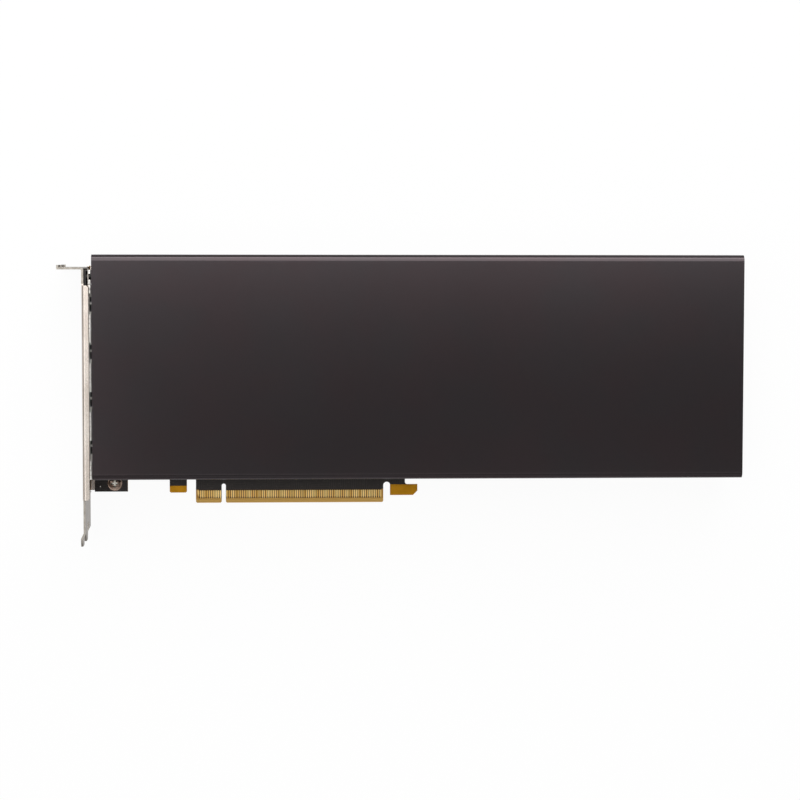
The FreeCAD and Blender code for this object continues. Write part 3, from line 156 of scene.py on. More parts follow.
class Recipe:
    """A material being mixed: its node tree, its shader and the ways to add to them."""

    def __init__(self, name: str) -> None:
        """Start a material with a Principled shader and nothing else."""
        self.material = bpy.data.materials.new(name)
        self.material.use_nodes = True
        self.tree = self.material.node_tree
        self.tree.nodes.clear()
        self.surface = self.tree.nodes.new("ShaderNodeOutputMaterial").inputs["Surface"]
        self.shader = self.node("ShaderNodeBsdfPrincipled")
        self.feed(self.surface, self.shader)
        self.place = self.node("ShaderNodeTexCoord", output="Object")

    def node(self, kind: str, settings: dict | None = None, inputs: dict | None = None,
             output: int | str = 0) -> Flow:
        """Add any node.

        Args:
            kind: the node's type.
            settings: its properties, set before its sockets.
            inputs: values or flows by socket name or number.
            output: which output to hand on.

        Returns:
            The chosen output as a flow.
        """
        made = self.tree.nodes.new(kind)
        for key, value in (settings or {}).items():
            setattr(made, key, value)
        for key, value in (inputs or {}).items():
            self.feed(made.inputs[key], value)
        return Flow(self, made.outputs[output])

    def feed(self, socket: bpy.types.NodeSocket, value: Value) -> None:
        """Link a flow to a socket, or set a plain value on it."""
        if isinstance(value, Flow):
            self.tree.links.new(value.socket, socket)
        else:
            socket.default_value = value

    def noise(self, size: float, detail: float = 2.0, stretch: Sequence[float] | None = None) -> Flow:
        """Add a noise of a given grain.

        Args:
            size: the grain's size in millimetres.
            detail: how many finer octaves it has.
            stretch: factors on the axes, under 1 to lengthen the grain along one.

        Returns:
            The noise, from 0 to 1.
        """
        where = self.place
        if stretch:
            where = self.node("ShaderNodeMapping", None, {"Vector": self.place, "Scale": stretch})
        return self.node("ShaderNodeTexNoise", None,
                         {"Vector": where, "Scale": 1 / (size * MM), "Detail": detail})

    def spots(self, pitch: float, radius: float, flank: float = 0.8) -> Flow:
        """Scatter round spots in plan, one in each cell of a pitch.

        Args:
            pitch: the cells' size in millimetres.
            radius: the spots' radius in millimetres.
            flank: the share of the radius inside which a spot is full.

        Returns:
            1 on the spots and 0 between them.
        """
        cells = self.node("ShaderNodeTexVoronoi", {"voronoi_dimensions": "2D"},
                          {"Vector": self.place, "Scale": 1 / (pitch * MM)}, "Distance")
        return cells.rise(radius / pitch, radius / pitch * flank)

    def mix(self, share: Value, first: Value, second: Value) -> Flow:
        """Blend two colours by a share from 0 to 1."""
        return self.node("ShaderNodeMix", {"data_type": "RGBA"}, {0: share, 6: first, 7: second}, 2)

    def axes(self) -> tuple[Flow, Flow, Flow]:
        """Give the object's X, Y and Z in millimetres."""
        scaled = self.node("ShaderNodeVectorMath", {"operation": "SCALE"}, {0: self.place, "Scale": 1 / MM})
        x = self.node("ShaderNodeSeparateXYZ", None, {0: scaled})
        return x, x.sibling("Y"), x.sibling("Z")

    def emboss(self, height: Flow, depth: float) -> None:
        """Let a height from 0 to 1 stand out of the surface by a depth in millimetres."""
        bump = self.node("ShaderNodeBump", None, {"Strength": 1.0, "Distance": depth * MM, "Height": height})
        self.dress(Normal=bump)

    def dress(self, **values: Value) -> None:
        """Set the shader's sockets; an underscore in a name stands for a space."""
        for key, value in values.items():
            self.feed(self.shader.socket.node.inputs[key.replace("_", " ")], value)


# ------------------------------------------------------------------------------ finishes
@dataclass(frozen=True)
class Finish:
    """A surface of two close tones in soft patches, with a fine grain in its relief and gloss.

    Sizes are in millimetres. The run holds factors on the grain's axes: a low one lengthens it.
    The gloss drifts in patches that are wider than the tones' by the drift span.
    """

    name: str
    slot: str
    tone: str
    patch_tone: str
    metallic: float = 0.0
    roughness: float = 0.5
    specular: float = 0.5
    edge_tint: str = "ffffff"
    patch_size: float = 9.0
    grain_size: float = 0.25
    grain_depth: float = 0.004
    grain_run: tuple[float, float, float] = (1.0, 1.0, 1.0)
    grain_share: float = 0.2
    patch_limits: tuple[float, float] = (0.36, 0.64)
    gloss_spread: float = 0.12
    drift_span: float = 3.0

    def colour(self, recipe: Recipe, grain: Flow) -> Flow:
        """Mix the two tones in patches, with a touch of the grain."""
        patches = recipe.noise(self.patch_size, 3.0) * (1 - self.grain_share) + grain * self.grain_share
        return recipe.mix(patches.rise(*self.patch_limits), linear(self.tone), linear(self.patch_tone))

    def relief(self, recipe: Recipe, grain: Flow) -> Flow:
        """Give the height of the surface, from 0 to 1."""
        return grain

    def gloss(self, recipe: Recipe, grain: Flow) -> Flow:
        """Give the roughness, which wanders a little with the grain and in wide patches."""
        drift = recipe.noise(self.patch_size * self.drift_span, 2.0) * 0.5 + grain * 0.5
        return drift * self.gloss_spread + (self.roughness - self.gloss_spread / 2)

    def make(self) -> bpy.types.Material:
        """Build the material, or hand back the one that was built before."""
        built = bpy.data.materials.get(self.name)
        if built:
            return built
        recipe = Recipe(self.name)
        grain = recipe.noise(self.grain_size, 3.0, self.grain_run)
        recipe.dress(Base_Color=self.colour(recipe, grain), Roughness=self.gloss(recipe, grain),
                     Metallic=self.metallic, Specular_IOR_Level=self.specular,
                     Specular_Tint=linear(self.edge_tint))
        recipe.emboss(self.relief(recipe, grain), self.grain_depth)
        return recipe.material


@dataclass(frozen=True)
class SolderMask(Finish):
    """The board's dark lacquer over copper tracks, left off round the contacts.

    The bare stretch is where the laminate shows round the contacts: its X limits and its upper edge.
    Between the contacts, from the first to the last and over the low end of the gaps, it is darker.
    Tracks turn from upright to level in patches of the turn size, and end at patches of the lane size.
    """

    bare_x: tuple[float, float] = (-12.7, 72.7)
    bare_top: float = 6.05
    gap_x: tuple[float, float] = (-11.2, 71.75)
    gap_low: float = 2.1
    gap_blur: float = 0.1
    border_blur: float = 0.05
    laminate: str = "c48e30"
    gap_tone: str = "341f02"
    track_tone: str = "3a322d"
    track_share: float = 0.75
    track_relief: float = 0.8
    track_width: float = 0.26
    track_flank: float = 0.6
    upright_pitch: float = 1.0
    level_pitch: float = 0.8
    turn_size: float = 6.0
    turn_limits: tuple[float, float] = (0.49, 0.51)
    lane_size: float = 9.0
    lane_limits: tuple[float, float] = (0.44, 0.47)
    via_pitch: float = 2.7
    via_radius: float = 0.3

    def within(self, place: Flow, low: float, high: float) -> Flow:
        """Mark a stretch along an axis with 1, with a slight blur outside its limits."""
        return place.rise(low - self.border_blur, low) * place.rise(high + self.border_blur, high)

    def tracks(self, recipe: Recipe) -> Flow:
        """Draw tracks: straight up from the contacts there, and in short runs both ways elsewhere."""
        x, y, _ = recipe.axes()
        half = self.track_width / 2
        upright = x.saw(self.upright_pitch).rise(half, half * self.track_flank)
        level = y.saw(self.level_pitch).rise(half, half * self.track_flank)
        turns = recipe.noise(self.turn_size, 0.0).rise(*self.turn_limits)
        routed = upright * turns + level * (1 - turns)
        lanes = recipe.noise(self.lane_size, 1.0).rise(*self.lane_limits)
        vias = recipe.spots(self.via_pitch, self.via_radius)
        return (routed * lanes).most(vias)

    def bare(self, recipe: Recipe) -> Flow:
        """Mark the stretch of bare laminate round the contacts with 1."""
        x, y, _ = recipe.axes()
        return self.within(x, *self.bare_x) * y.rise(self.bare_top + self.border_blur, self.bare_top)

    def colour(self, recipe: Recipe, grain: Flow) -> Flow:
        """Lay the lacquer over the tracks and leave the contacts' stretch bare."""
        lacquer = super().colour(recipe, grain)
        traced = recipe.mix(self.tracks(recipe) * self.track_share, lacquer, linear(self.track_tone))
        x, y, _ = recipe.axes()
        over_toes = y.rise(self.gap_low - self.gap_blur, self.gap_low + self.gap_blur)
        gaps = over_toes * self.within(x, *self.gap_x)
        resin = recipe.mix(gaps, linear(self.laminate), linear(self.gap_tone))
        return recipe.mix(self.bare(recipe), traced, resin)

    def relief(self, recipe: Recipe, grain: Flow) -> Flow:
        """Raise the lacquer over the tracks and vias."""
        return self.tracks(recipe) * self.track_relief + grain * (1 - self.track_relief)


@dataclass(frozen=True)
class Laminate(Finish):
    """The cut edge of the board: layers of glass cloth in resin, one over another along Z."""

    layer: float = 0.2
    layer_limits: tuple[float, float] = (0.15, 0.4)
    layer_share: float = 0.7

    def colour(self, recipe: Recipe, grain: Flow) -> Flow:
        """Alternate the two tones from layer to layer."""
        _, _, z = recipe.axes()
        low, high = self.layer_limits
        layers = z.saw(self.layer).rise(self.layer * low, self.layer * high)
        share = layers * self.layer_share + grain * (1 - self.layer_share)
        return recipe.mix(share, linear(self.tone), linear(self.patch_tone))


@dataclass(frozen=True)
class Threaded(Finish):
    """A plated part whose bore carries a thread, drawn as rings along X."""

    pitch: float = 0.5

    def relief(self, recipe: Recipe, grain: Flow) -> Flow:
        """Cut a ring at each turn of the thread."""
        x, _, _ = recipe.axes()
        return x.saw(self.pitch) / (self.pitch / 2)


@dataclass(frozen=True)
class ContactGold(Finish):
    """Gold whose tone changes a little from one contact to the next along X."""

    pitch: float = 1.0

    def colour(self, recipe: Recipe, grain: Flow) -> Flow:
        """Pick a share of the two tones for each contact."""
        x, _, _ = recipe.axes()
        place = x / self.pitch
        number = place.math("ROUND", place)
        chance = recipe.node("ShaderNodeTexWhiteNoise", {"noise_dimensions": "1D"}, {"W": number})
        share = chance * (1 - self.grain_share) + grain * self.grain_share
        return recipe.mix(share, linear(self.tone), linear(self.patch_tone))


ALONG_CARD = (0.04, 1.0, 1.0)
ACROSS_CARD = (1.0, 0.05, 1.0)
UPRIGHT = (1.0, 1.0, 0.05)
THROUGH_BOARD = (0.2, 0.2, 1.0)


class Finishes(Enum):
    """Every finish on the card."""

    COVER = Finish("satin_black_anodising", "cover_anodised", "454042", "473f41", metallic=0.9,
                   roughness=0.19, edge_tint="b0b0b0", patch_size=26.0, grain_size=0.16, grain_depth=0.0022,
                   gloss_spread=0.05)
    BACK_PLATE = Finish("black_anodised_back", "cover_anodised", "2b2727", "302b2a", metallic=0.3,
                        roughness=0.42, specular=0.4, patch_size=22.0, grain_size=0.18, grain_depth=0.003)
    BRACKET = Finish("nickel_plated_sheet", "bracket_plate", "dfd5cc", "d1c6bc", metallic=1.0, roughness=0.25,
                     edge_tint="a8a8a8", patch_size=14.0, grain_size=0.3, grain_run=ACROSS_CARD,
                     grain_depth=0.0035)
    SHEARED = Finish("sheared_sheet_edge", "bracket_plate", "aea8a0", "989289", metallic=1.0, roughness=0.46,
                     edge_tint="a8a8a8", patch_size=2.5, grain_size=0.2, grain_depth=0.012)
    BLACK_STEEL = Finish("black_stoved_steel", "black_steel", "191717", "211e1d", roughness=0.48,
                         specular=0.4, patch_size=6.0, grain_size=0.5, grain_depth=0.012)
    MASK = SolderMask("dark_solder_mask", "board_mask", "211916", "241c18", roughness=0.4, specular=0.35,
                      patch_size=7.0, grain_size=0.3, grain_depth=0.02)
    LAMINATE = Laminate("laminate_edge", "board_mask", "eabb62", "cf9f50", roughness=0.7, grain_size=0.3,
                        grain_run=THROUGH_BOARD, grain_depth=0.01)
    CONTACT_GOLD = ContactGold("hard_gold_contacts", "gold_contacts", "ffdf96", "c08828", metallic=1.0,
                               roughness=0.3, patch_size=4.0, grain_size=0.1, grain_run=ACROSS_CARD,
                               grain_depth=0.003)
    PLATING_GOLD = Finish("soft_gold_plating", "gold_plating", "b47f1e", "a57418", metallic=1.0,
                          roughness=0.36, patch_size=5.0, grain_size=0.12, grain_depth=0.003)
    PORT_STEEL = Finish("bright_port_steel", "port_steel", "eeece8", "dcd9d3", metallic=1.0, roughness=0.36,
                        patch_size=3.0, grain_size=0.2, grain_run=ALONG_CARD, grain_depth=0.004)
    SCREW_STEEL = Finish("nickel_screw", "steel_screw", "b8a294", "a08878", metallic=1.0, roughness=0.24,
                         patch_size=1.5, grain_size=0.12, grain_depth=0.004)
    BLACK_SCREW = Finish("black_oxide_screw", "black_screw", "1d1b1a", "2a2725", metallic=0.7, roughness=0.36,
                         patch_size=1.5, grain_size=0.12, grain_depth=0.004)
    NICKEL_BOSS = Threaded("threaded_nickel", "nickel_boss", "c9c3b8", "b6aea1", metallic=1.0, roughness=0.3,
                           patch_size=2.0, grain_depth=0.12)
    STIFFENER = Finish("stamped_stiffener", "nickel_boss", "bdb9b0", "a9a59c", metallic=1.0, roughness=0.38)
    FIN = Finish("mill_aluminium_fins", "fin_aluminium", "c6c8ca", "b4b6b9", metallic=1.0, roughness=0.36,
                 patch_size=8.0, grain_size=0.3, grain_run=ALONG_CARD, grain_depth=0.006)
    MACHINED = Finish("machined_aluminium", "fin_aluminium", "b9bbbd", "a8aaad", metallic=1.0, roughness=0.32,
                      patch_size=10.0, grain_size=0.35, grain_run=ACROSS_CARD, grain_depth=0.006)
    COPPER = Finish("lapped_copper", "copper", "c8714d", "b5603f", metallic=1.0, roughness=0.28,
                    grain_size=0.2, grain_run=ALONG_CARD, grain_depth=0.003)
    SUBSTRATE = Finish("substrate_lacquer", "substrate_green", "2d4a35", "25402d", roughness=0.45,
                       patch_size=3.0)
    SILICON = Finish("polished_silicon", "silicon", "4a4d55", "42454c", metallic=0.6, roughness=0.16,
                     grain_depth=0.001)
    CHIP = Finish("epoxy_mould", "chip_mould", "232323", "2b2a2a", roughness=0.62, specular=0.35,
                  patch_size=2.0, grain_size=0.08, grain_depth=0.006)
    PAD = Finish("silicone_pad", "thermal_grey", "8b9297", "7f868c", roughness=0.8, patch_size=2.0,
                 grain_size=0.2, grain_depth=0.02)
    CHOKE = Finish("pressed_ferrite", "choke_grey", "4b4b4d", "3f3f41", metallic=0.2, roughness=0.6,
                   patch_size=2.0, grain_size=0.1, grain_depth=0.01)
    CAN = Finish("drawn_can", "can_aluminium", "cfcfd1", "bfc0c3", metallic=1.0, roughness=0.27,
                 patch_size=3.0, grain_size=0.25, grain_run=UPRIGHT, grain_depth=0.003)
    PLASTIC = Finish("glass_filled_black", "black_plastic", "1b1b1c", "222223", roughness=0.46, specular=0.45,
                     patch_size=2.5, grain_size=0.14, grain_depth=0.01)
    TIN = Finish("bright_tin", "tin_pins", "cfccc4", "bdb9b0", metallic=1.0, roughness=0.25, patch_size=1.0)
    CERAMIC = Finish("fired_ceramic", "choke_grey", "7a5f49", "6b523e", roughness=0.5, patch_size=0.8)

    def make(self) -> bpy.types.Material:
        """Build this finish's material."""
        return self.value.make()


# ------------------------------------------------------------------------------ shaping meshes
class Mould:
    """A mesh being shaped, in metres and in the card's frame."""

    def __init__(self) -> None:
        """Start with nothing."""
        self.mesh = bmesh.new()

    @classmethod
    def of(cls, node: str) -> "Mould":
        """Start from a copy of a CAD node, its loose triangles merged into whole faces."""
        mould = cls()
        mould.mesh.from_mesh(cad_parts[node].data)
        mesh = mould.mesh
        bmesh.ops.remove_doubles(mesh, verts=mesh.verts, dist=WELD)
        bmesh.ops.dissolve_limit(mesh, angle_limit=SAME_PLANE, verts=mesh.verts, edges=mesh.edges)
        return mould

    def block(self, low: Sequence[float], high: Sequence[float], edge: float = 0.0, steps: int = 2,
              turned: float = 0.0) -> list[bmesh.types.BMVert]:
        """Add a block with softened edges.

        Args:
            low: its lowest corner.
            high: its highest corner.
            edge: how wide its edges are bevelled.
            steps: segments in each bevel.
            turned: a turn about Z through its middle, in radians.

        Returns:
            The block's vertices.
        """
        low, high = Vector(low), Vector(high)
        middle, size = (low + high) / 2, high - low
        place = Matrix.Translation(middle) @ Matrix.Rotation(turned, 4, "Z") @ Matrix.Diagonal((*size, 1.0))
        made = bmesh.ops.create_cube(self.mesh, size=1.0, matrix=place)["verts"]
        if edge:
            edges = list({e for v in made for e in v.link_edges})
            made = self.round_off(edges, edge, steps)
        return made

    def round_off(self, edges: Iterable[bmesh.types.BMEdge], width: float, steps: int = 2
                  ) -> list[bmesh.types.BMVert]:
        """Bevel edges and return the vertices that this makes."""
        result = bmesh.ops.bevel(self.mesh, geom=list(edges), offset=width, offset_type="OFFSET",
                                 segments=steps, profile=0.5, affect="EDGES", clamp_overlap=True, material=-1)
        return result["verts"]

    def soften(self, width: float, steps: int = 2, angle: float = 38.0) -> "Mould":
        """Bevel every outer edge that is sharper than an angle in degrees."""
        limit = math.radians(angle)
        sharp = [e for e in self.mesh.edges
                 if len(e.link_faces) == 2 and e.is_convex and e.calc_face_angle(0.0) > limit]
        self.round_off(sharp, width, steps)
        return self

    def lathe(self, profile: Sequence[tuple[float, float]], foot: Sequence[float], steps: int = 40) -> None:
        """Spin a profile about an upright axis.

        Args:
            profile: pairs of a radius and a height over the foot, from the lower end to the upper.
            foot: the axis's point at height zero.
            steps: how many steps go round.
        """
        foot = Vector(foot)
        points = [self.mesh.verts.new(foot + Vector((radius, 0.0, height))) for radius, height in profile]
        edges = [self.mesh.edges.new(pair) for pair in zip(points, points[1:])]
        bmesh.ops.spin(self.mesh, geom=points + edges, cent=foot, axis=(0.0, 0.0, 1.0), angle=math.tau,
                       steps=steps, use_merge=True)
        bmesh.ops.remove_doubles(self.mesh, verts=self.mesh.verts, dist=WELD)

    def paint(self, finish_number: int, chosen: Iterable[bmesh.types.BMFace]) -> None:
        """Give some faces one of the piece's finishes."""
        for face in chosen:
            face.material_index = finish_number

    def loose(self, name: str) -> bpy.types.Object:
        """Turn the mesh into a plain object of the scene."""
        mesh = bpy.data.meshes.new(name)
        self.mesh.to_mesh(mesh)
        self.mesh.free()
        made = bpy.data.objects.new(name, mesh)
        bpy.context.scene.collection.objects.link(made)
        return made

    def deliver(self, name: str, finishes: Sequence[Finishes], stands_for: Sequence[str] = (),
                outwards: bool = False, smooth_under: float = 35.0) -> bpy.types.Object:
        """Make the mesh a piece of the card.

        Args:
            name: the piece's name.
            finishes: its finishes, in the order of its faces' numbers.
            stands_for: the CAD nodes that it replaces.
            outwards: whether to turn all faces outwards first.
            smooth_under: the angle in degrees under which two faces shade as one.

        Returns:
            The finished object.
        """
        if outwards:
            bmesh.ops.recalc_face_normals(self.mesh, faces=self.mesh.faces)
        piece = self.loose(name)
        mesh = piece.data
        for finish in finishes:
            mesh.materials.append(finish.make())
        mesh.shade_smooth()
        mesh.set_sharp_from_angle(angle=math.radians(smooth_under))
        weighted = piece.modifiers.new("even_shading", "WEIGHTED_NORMAL")
        weighted.keep_sharp = True
        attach(piece, BODY)
        if stands_for:
            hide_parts(*stands_for)
        log.info("%s: %d faces", name, len(mesh.polygons))
        return piece


def islands(node: str) -> list[Corners]:
    """Find the separate solids of a CAD node.

    Args:
        node: the node's name.

    Returns:
        The lowest and highest corner of each solid, in order of X and then Y.
    """
    mould = Mould.of(node)
    waiting = set(mould.mesh.verts)
    found = []
    while waiting:
        reached = [waiting.pop()]
        points = []
        while reached:
            vert = reached.pop()
            points.append(vert.co.copy())
            for edge in vert.link_edges:
                other = edge.other_vert(vert)
                if other in waiting:
                    waiting.remove(other)
                    reached.append(other)
        low = Vector([min(p[n] for p in points) for n in range(3)])
        high = Vector([max(p[n] for p in points) for n in range(3)])
        found.append((low, high))
    mould.mesh.free()
    return sorted(found, key=lambda pair: (round(pair[0].x, 5), round(pair[0].y, 5)))


def axis_point(low: Vector, high: Vector, height: float) -> Vector:
    """Give the point at a height on the upright axis through the middle of two corners."""
    return Vector(((low.x + high.x) / 2, (low.y + high.y) / 2, height))


def quarter_turn(steps: int) -> list[float]:
    """Give the angles from 0 to a right angle in equal steps, with both ends."""
    return [math.tau / 4 * step / steps for step in range(steps + 1)]


def softened(node: str, name: str, finish: Finishes, width: float, steps: int = 2) -> bpy.types.Object:
    """Replace a CAD node by a copy with softened edges."""
    return Mould.of(node).soften(width * MM, steps).deliver(name, [finish], [node])


def dress_node(node: str, finish: Finishes) -> None:
    """Give a CAD node that stays as it is its finish."""
    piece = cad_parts[node]
    for holder in piece.material_slots:
        holder.link = "OBJECT"
        holder.material = finish.make()
    log.info("%s: kept, %s", node, finish.name.lower())


# ------------------------------------------------------------------------------ cover and back
@dataclass
class Enclosure:
    """The folded cover, the back plate and the screws that hold them. Sizes are in millimetres."""

    cover_edge: float = 0.16
    plate_edge: float = 0.18
    screw_edge: float = 0.07

    def build(self) -> None:
        """Make the sheets with the fine rounding that deburring leaves on their cut edges."""
        softened("cover", "folded_cover", Finishes.COVER, self.cover_edge, 3)
        softened("cover_screws", "cover_screw_set", Finishes.BLACK_SCREW, self.screw_edge)
        softened("back_plate", "back_cover_plate", Finishes.BACK_PLATE, self.plate_edge, 3)
        softened("back_plate_screws", "back_plate_screw_set", Finishes.BLACK_SCREW, self.screw_edge)
        softened("gpu_retention_screws", "retention_screw_set", Finishes.SCREW_STEEL, self.screw_edge)


# ------------------------------------------------------------------------------ board and contacts
@dataclass
class Board:
    """The circuit board with its contacts. Sizes are in millimetres."""

    pad_corner: float = 0.2
    toe_length: float = 1.0
    toe_tip: float = 0.3
    plating_edge: float = 0.02
    dot_reach: float = 5.0
    dot_share: float = 0.5
    level_face: float = 0.999

    def card(self) -> None:
        """Make the board: lacquered faces, and bare laminate on its cut edges and its bevel."""
        mould = Mould.of("circuit_board")
        mould.paint(1, [f for f in mould.mesh.faces if abs(f.normal.z) < self.level_face])
        mould.deliver("lacquered_board", [Finishes.MASK, Finishes.LAMINATE], ["circuit_board"])

    def contact_row(self, node: str, name: str) -> None:
        """Make one face's contacts: each pad with rounded corners and a toe that narrows to its tip.

        Args:
            node: the CAD node that holds the plain pads.
            name: the new piece's name.
        """
        mould = Mould()
        for low, high in islands(node):
            knee = low.y + self.toe_length * MM
            body = mould.block((low.x, knee, low.z), high)
            corners = [e for e in {e for v in body for e in v.link_edges}
                       if min(v.co.y for v in e.verts) > knee and e.verts[0].co.z != e.verts[1].co.z]
            mould.round_off(corners, self.pad_corner * MM, 3)
            toe = mould.block(low, (high.x, knee, high.z))
            tip = [v for v in toe if v.co.y < (low.y + knee) / 2]
            middle = Matrix.Translation((-(low.x + high.x) / 2, 0.0, 0.0))
            bmesh.ops.scale(mould.mesh, vec=(self.toe_tip, 1.0, 1.0), space=middle, verts=tip)
        mould.deliver(name, [Finishes.CONTACT_GOLD], [node])

    def plating(self) -> None:
        """Make the plated faces of the guide tab and hook, and the small test dot by the bracket."""
        mould = Mould.of("guide_plating")
        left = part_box("guide_plating")[0].x
        for low, high in islands("guide_plating"):
            if low.x > left + self.dot_reach * MM:
                continue
            middle = (low + high) / 2
            dot = [v for v in mould.mesh.verts if (v.co - middle).length < (high - low).length]
            bmesh.ops.scale(mould.mesh, vec=(self.dot_share, self.dot_share, 1.0),
                            space=Matrix.Translation(-middle), verts=dot)
            # The dot is a real pad; its pale tin finish also stands in for the glint on it, a painted
            # highlight.
            mould.paint(1, {face for vert in dot for face in vert.link_faces})
        mould.soften(self.plating_edge * MM, 1)
        mould.deliver("plated_guides", [Finishes.PLATING_GOLD, Finishes.TIN], ["guide_plating"])

    def build(self) -> None:
        """Make the board, both rows of contacts and the plated faces of the guide tab and hook."""
        self.card()
        self.contact_row("contacts_component_side", "contact_row_front")
        self.contact_row("contacts_solder_side", "contact_row_back")
        self.plating()


# ------------------------------------------------------------------------------ foot screws
@dataclass
class FootScrews:
    """The pan-head screws that hold the board to the bracket's feet.

    Each profile holds pairs of a share of the head's radius and a share of its height.
    """

    turned_steps: int = 48
    shank: float = 0.44
    shank_end: float = 0.4
    shank_chamfer: float = 0.2 * MM
    flange: tuple[tuple[float, float], ...] = ((1.0, 0.0), (1.0, 0.24), (0.97, 0.3), (0.88, 0.32))
    dome_radius: float = 0.86
    dome_foot: float = 0.45
    dome_steps: int = 6
    dome_skin: float = 0.95
    recess_top: float = 0.3
    recess_reach: float = 0.74
    recess_width: float = 0.24
    recess_depth: float = 1.35 * MM
    recess_taper: float = 0.45

    def cross(self, centre: Vector, radius: float) -> bpy.types.Object:
        """Make the tapered cross that is cut from a head, as a loose object."""
        mould = Mould()
        half = Vector((self.recess_reach * radius, self.recess_width * radius, self.recess_depth))
        for turn in (0.0, math.pi / 2):
            bar = mould.block(centre - half, centre + half, turned=turn)
            tip = [v for v in bar if v.co.z < centre.z]
            bmesh.ops.scale(mould.mesh, vec=(self.recess_taper, self.recess_taper, 1.0),
                            space=Matrix.Translation(-centre), verts=tip)
        return mould.loose("cross_cutter")

    def blank(self, low: Vector, high: Vector) -> bpy.types.Object:
        """Turn a screw between its corners, without its cross, as a loose object."""
        radius, crown = (high.x - low.x) / 2, high.z
        dome = [(self.dome_radius * math.cos(a), self.dome_foot + (1 - self.dome_foot) * math.sin(a))
                for a in quarter_turn(self.dome_steps)[:-1]]
        head = [(radius * out, crown * up) for out, up in (*self.flange, *dome)]
        shank = [(0.0, low.z), (radius * self.shank_end, low.z),
                 (radius * self.shank, low.z + self.shank_chamfer), (radius * self.shank, 0.0)]
        mould = Mould()
        mould.lathe([*shank, *head, (0.0, crown)], axis_point(low, high, 0.0), self.turned_steps)
        bmesh.ops.recalc_face_normals(mould.mesh, faces=mould.mesh.faces)
        return mould.loose("turned_screw")

    def screw(self, low: Vector, high: Vector) -> bpy.types.Mesh:
        """Cut the cross from a blank.

        Args:
            low: the lowest corner of the screw's CAD solid.
            high: the highest corner.

        Returns:
            The cut screw's mesh.
        """
        blank = self.blank(low, high)
        cutter = self.cross(axis_point(low, high, high.z), (high.x - low.x) / 2)
        cut = blank.modifiers.new("recess", "BOOLEAN")
        cut.object = cutter
        cut.operation = "DIFFERENCE"
        cut.solver = "EXACT"
        cut.use_self = True
        bpy.context.view_layer.update()
        result = bpy.data.meshes.new_from_object(blank.evaluated_get(bpy.context.evaluated_depsgraph_get()))
        for spent in (blank, cutter):
            bpy.data.objects.remove(spent)
        return result

    def glint_painted_faces(self, mould: Mould, low: Vector, high: Vector) -> list[bmesh.types.BMFace]:
        """List a head's faces that lie under the skin of its dome, which are those of its cross; they take a
        brighter finish as a painted highlight.
        """
        radius, crown = (high.x - low.x) / 2, high.z
        middle = axis_point(low, high, crown * self.dome_foot)
        wide, tall = radius * self.dome_radius, crown * (1 - self.dome_foot)
        to_round = Vector((1 / wide, 1 / wide, 1 / tall))
        found = []
        for face in mould.mesh.faces:
            centre = face.calc_center_median()
            if centre.z > crown * self.recess_top and ((centre - middle) * to_round).length < self.dome_skin:
                found.append(face)
        return found

    def build(self) -> None:
        """Make both screws as one piece."""
        whole = Mould()
        for low, high in islands("bracket_screws"):
            part = Mould()
            part.mesh.from_mesh(self.screw(low, high))
            # The cross takes the brighter tin finish: a painted highlight for the glints in the recess, not a
            # different metal.
            part.paint(1, self.glint_painted_faces(part, low, high))
            carrier = bpy.data.meshes.new("screw_part")
            part.mesh.to_mesh(carrier)
            part.mesh.free()
            whole.mesh.from_mesh(carrier)
        whole.deliver("bracket_screw_set", [Finishes.SCREW_STEEL, Finishes.TIN], ["bracket_screws"])


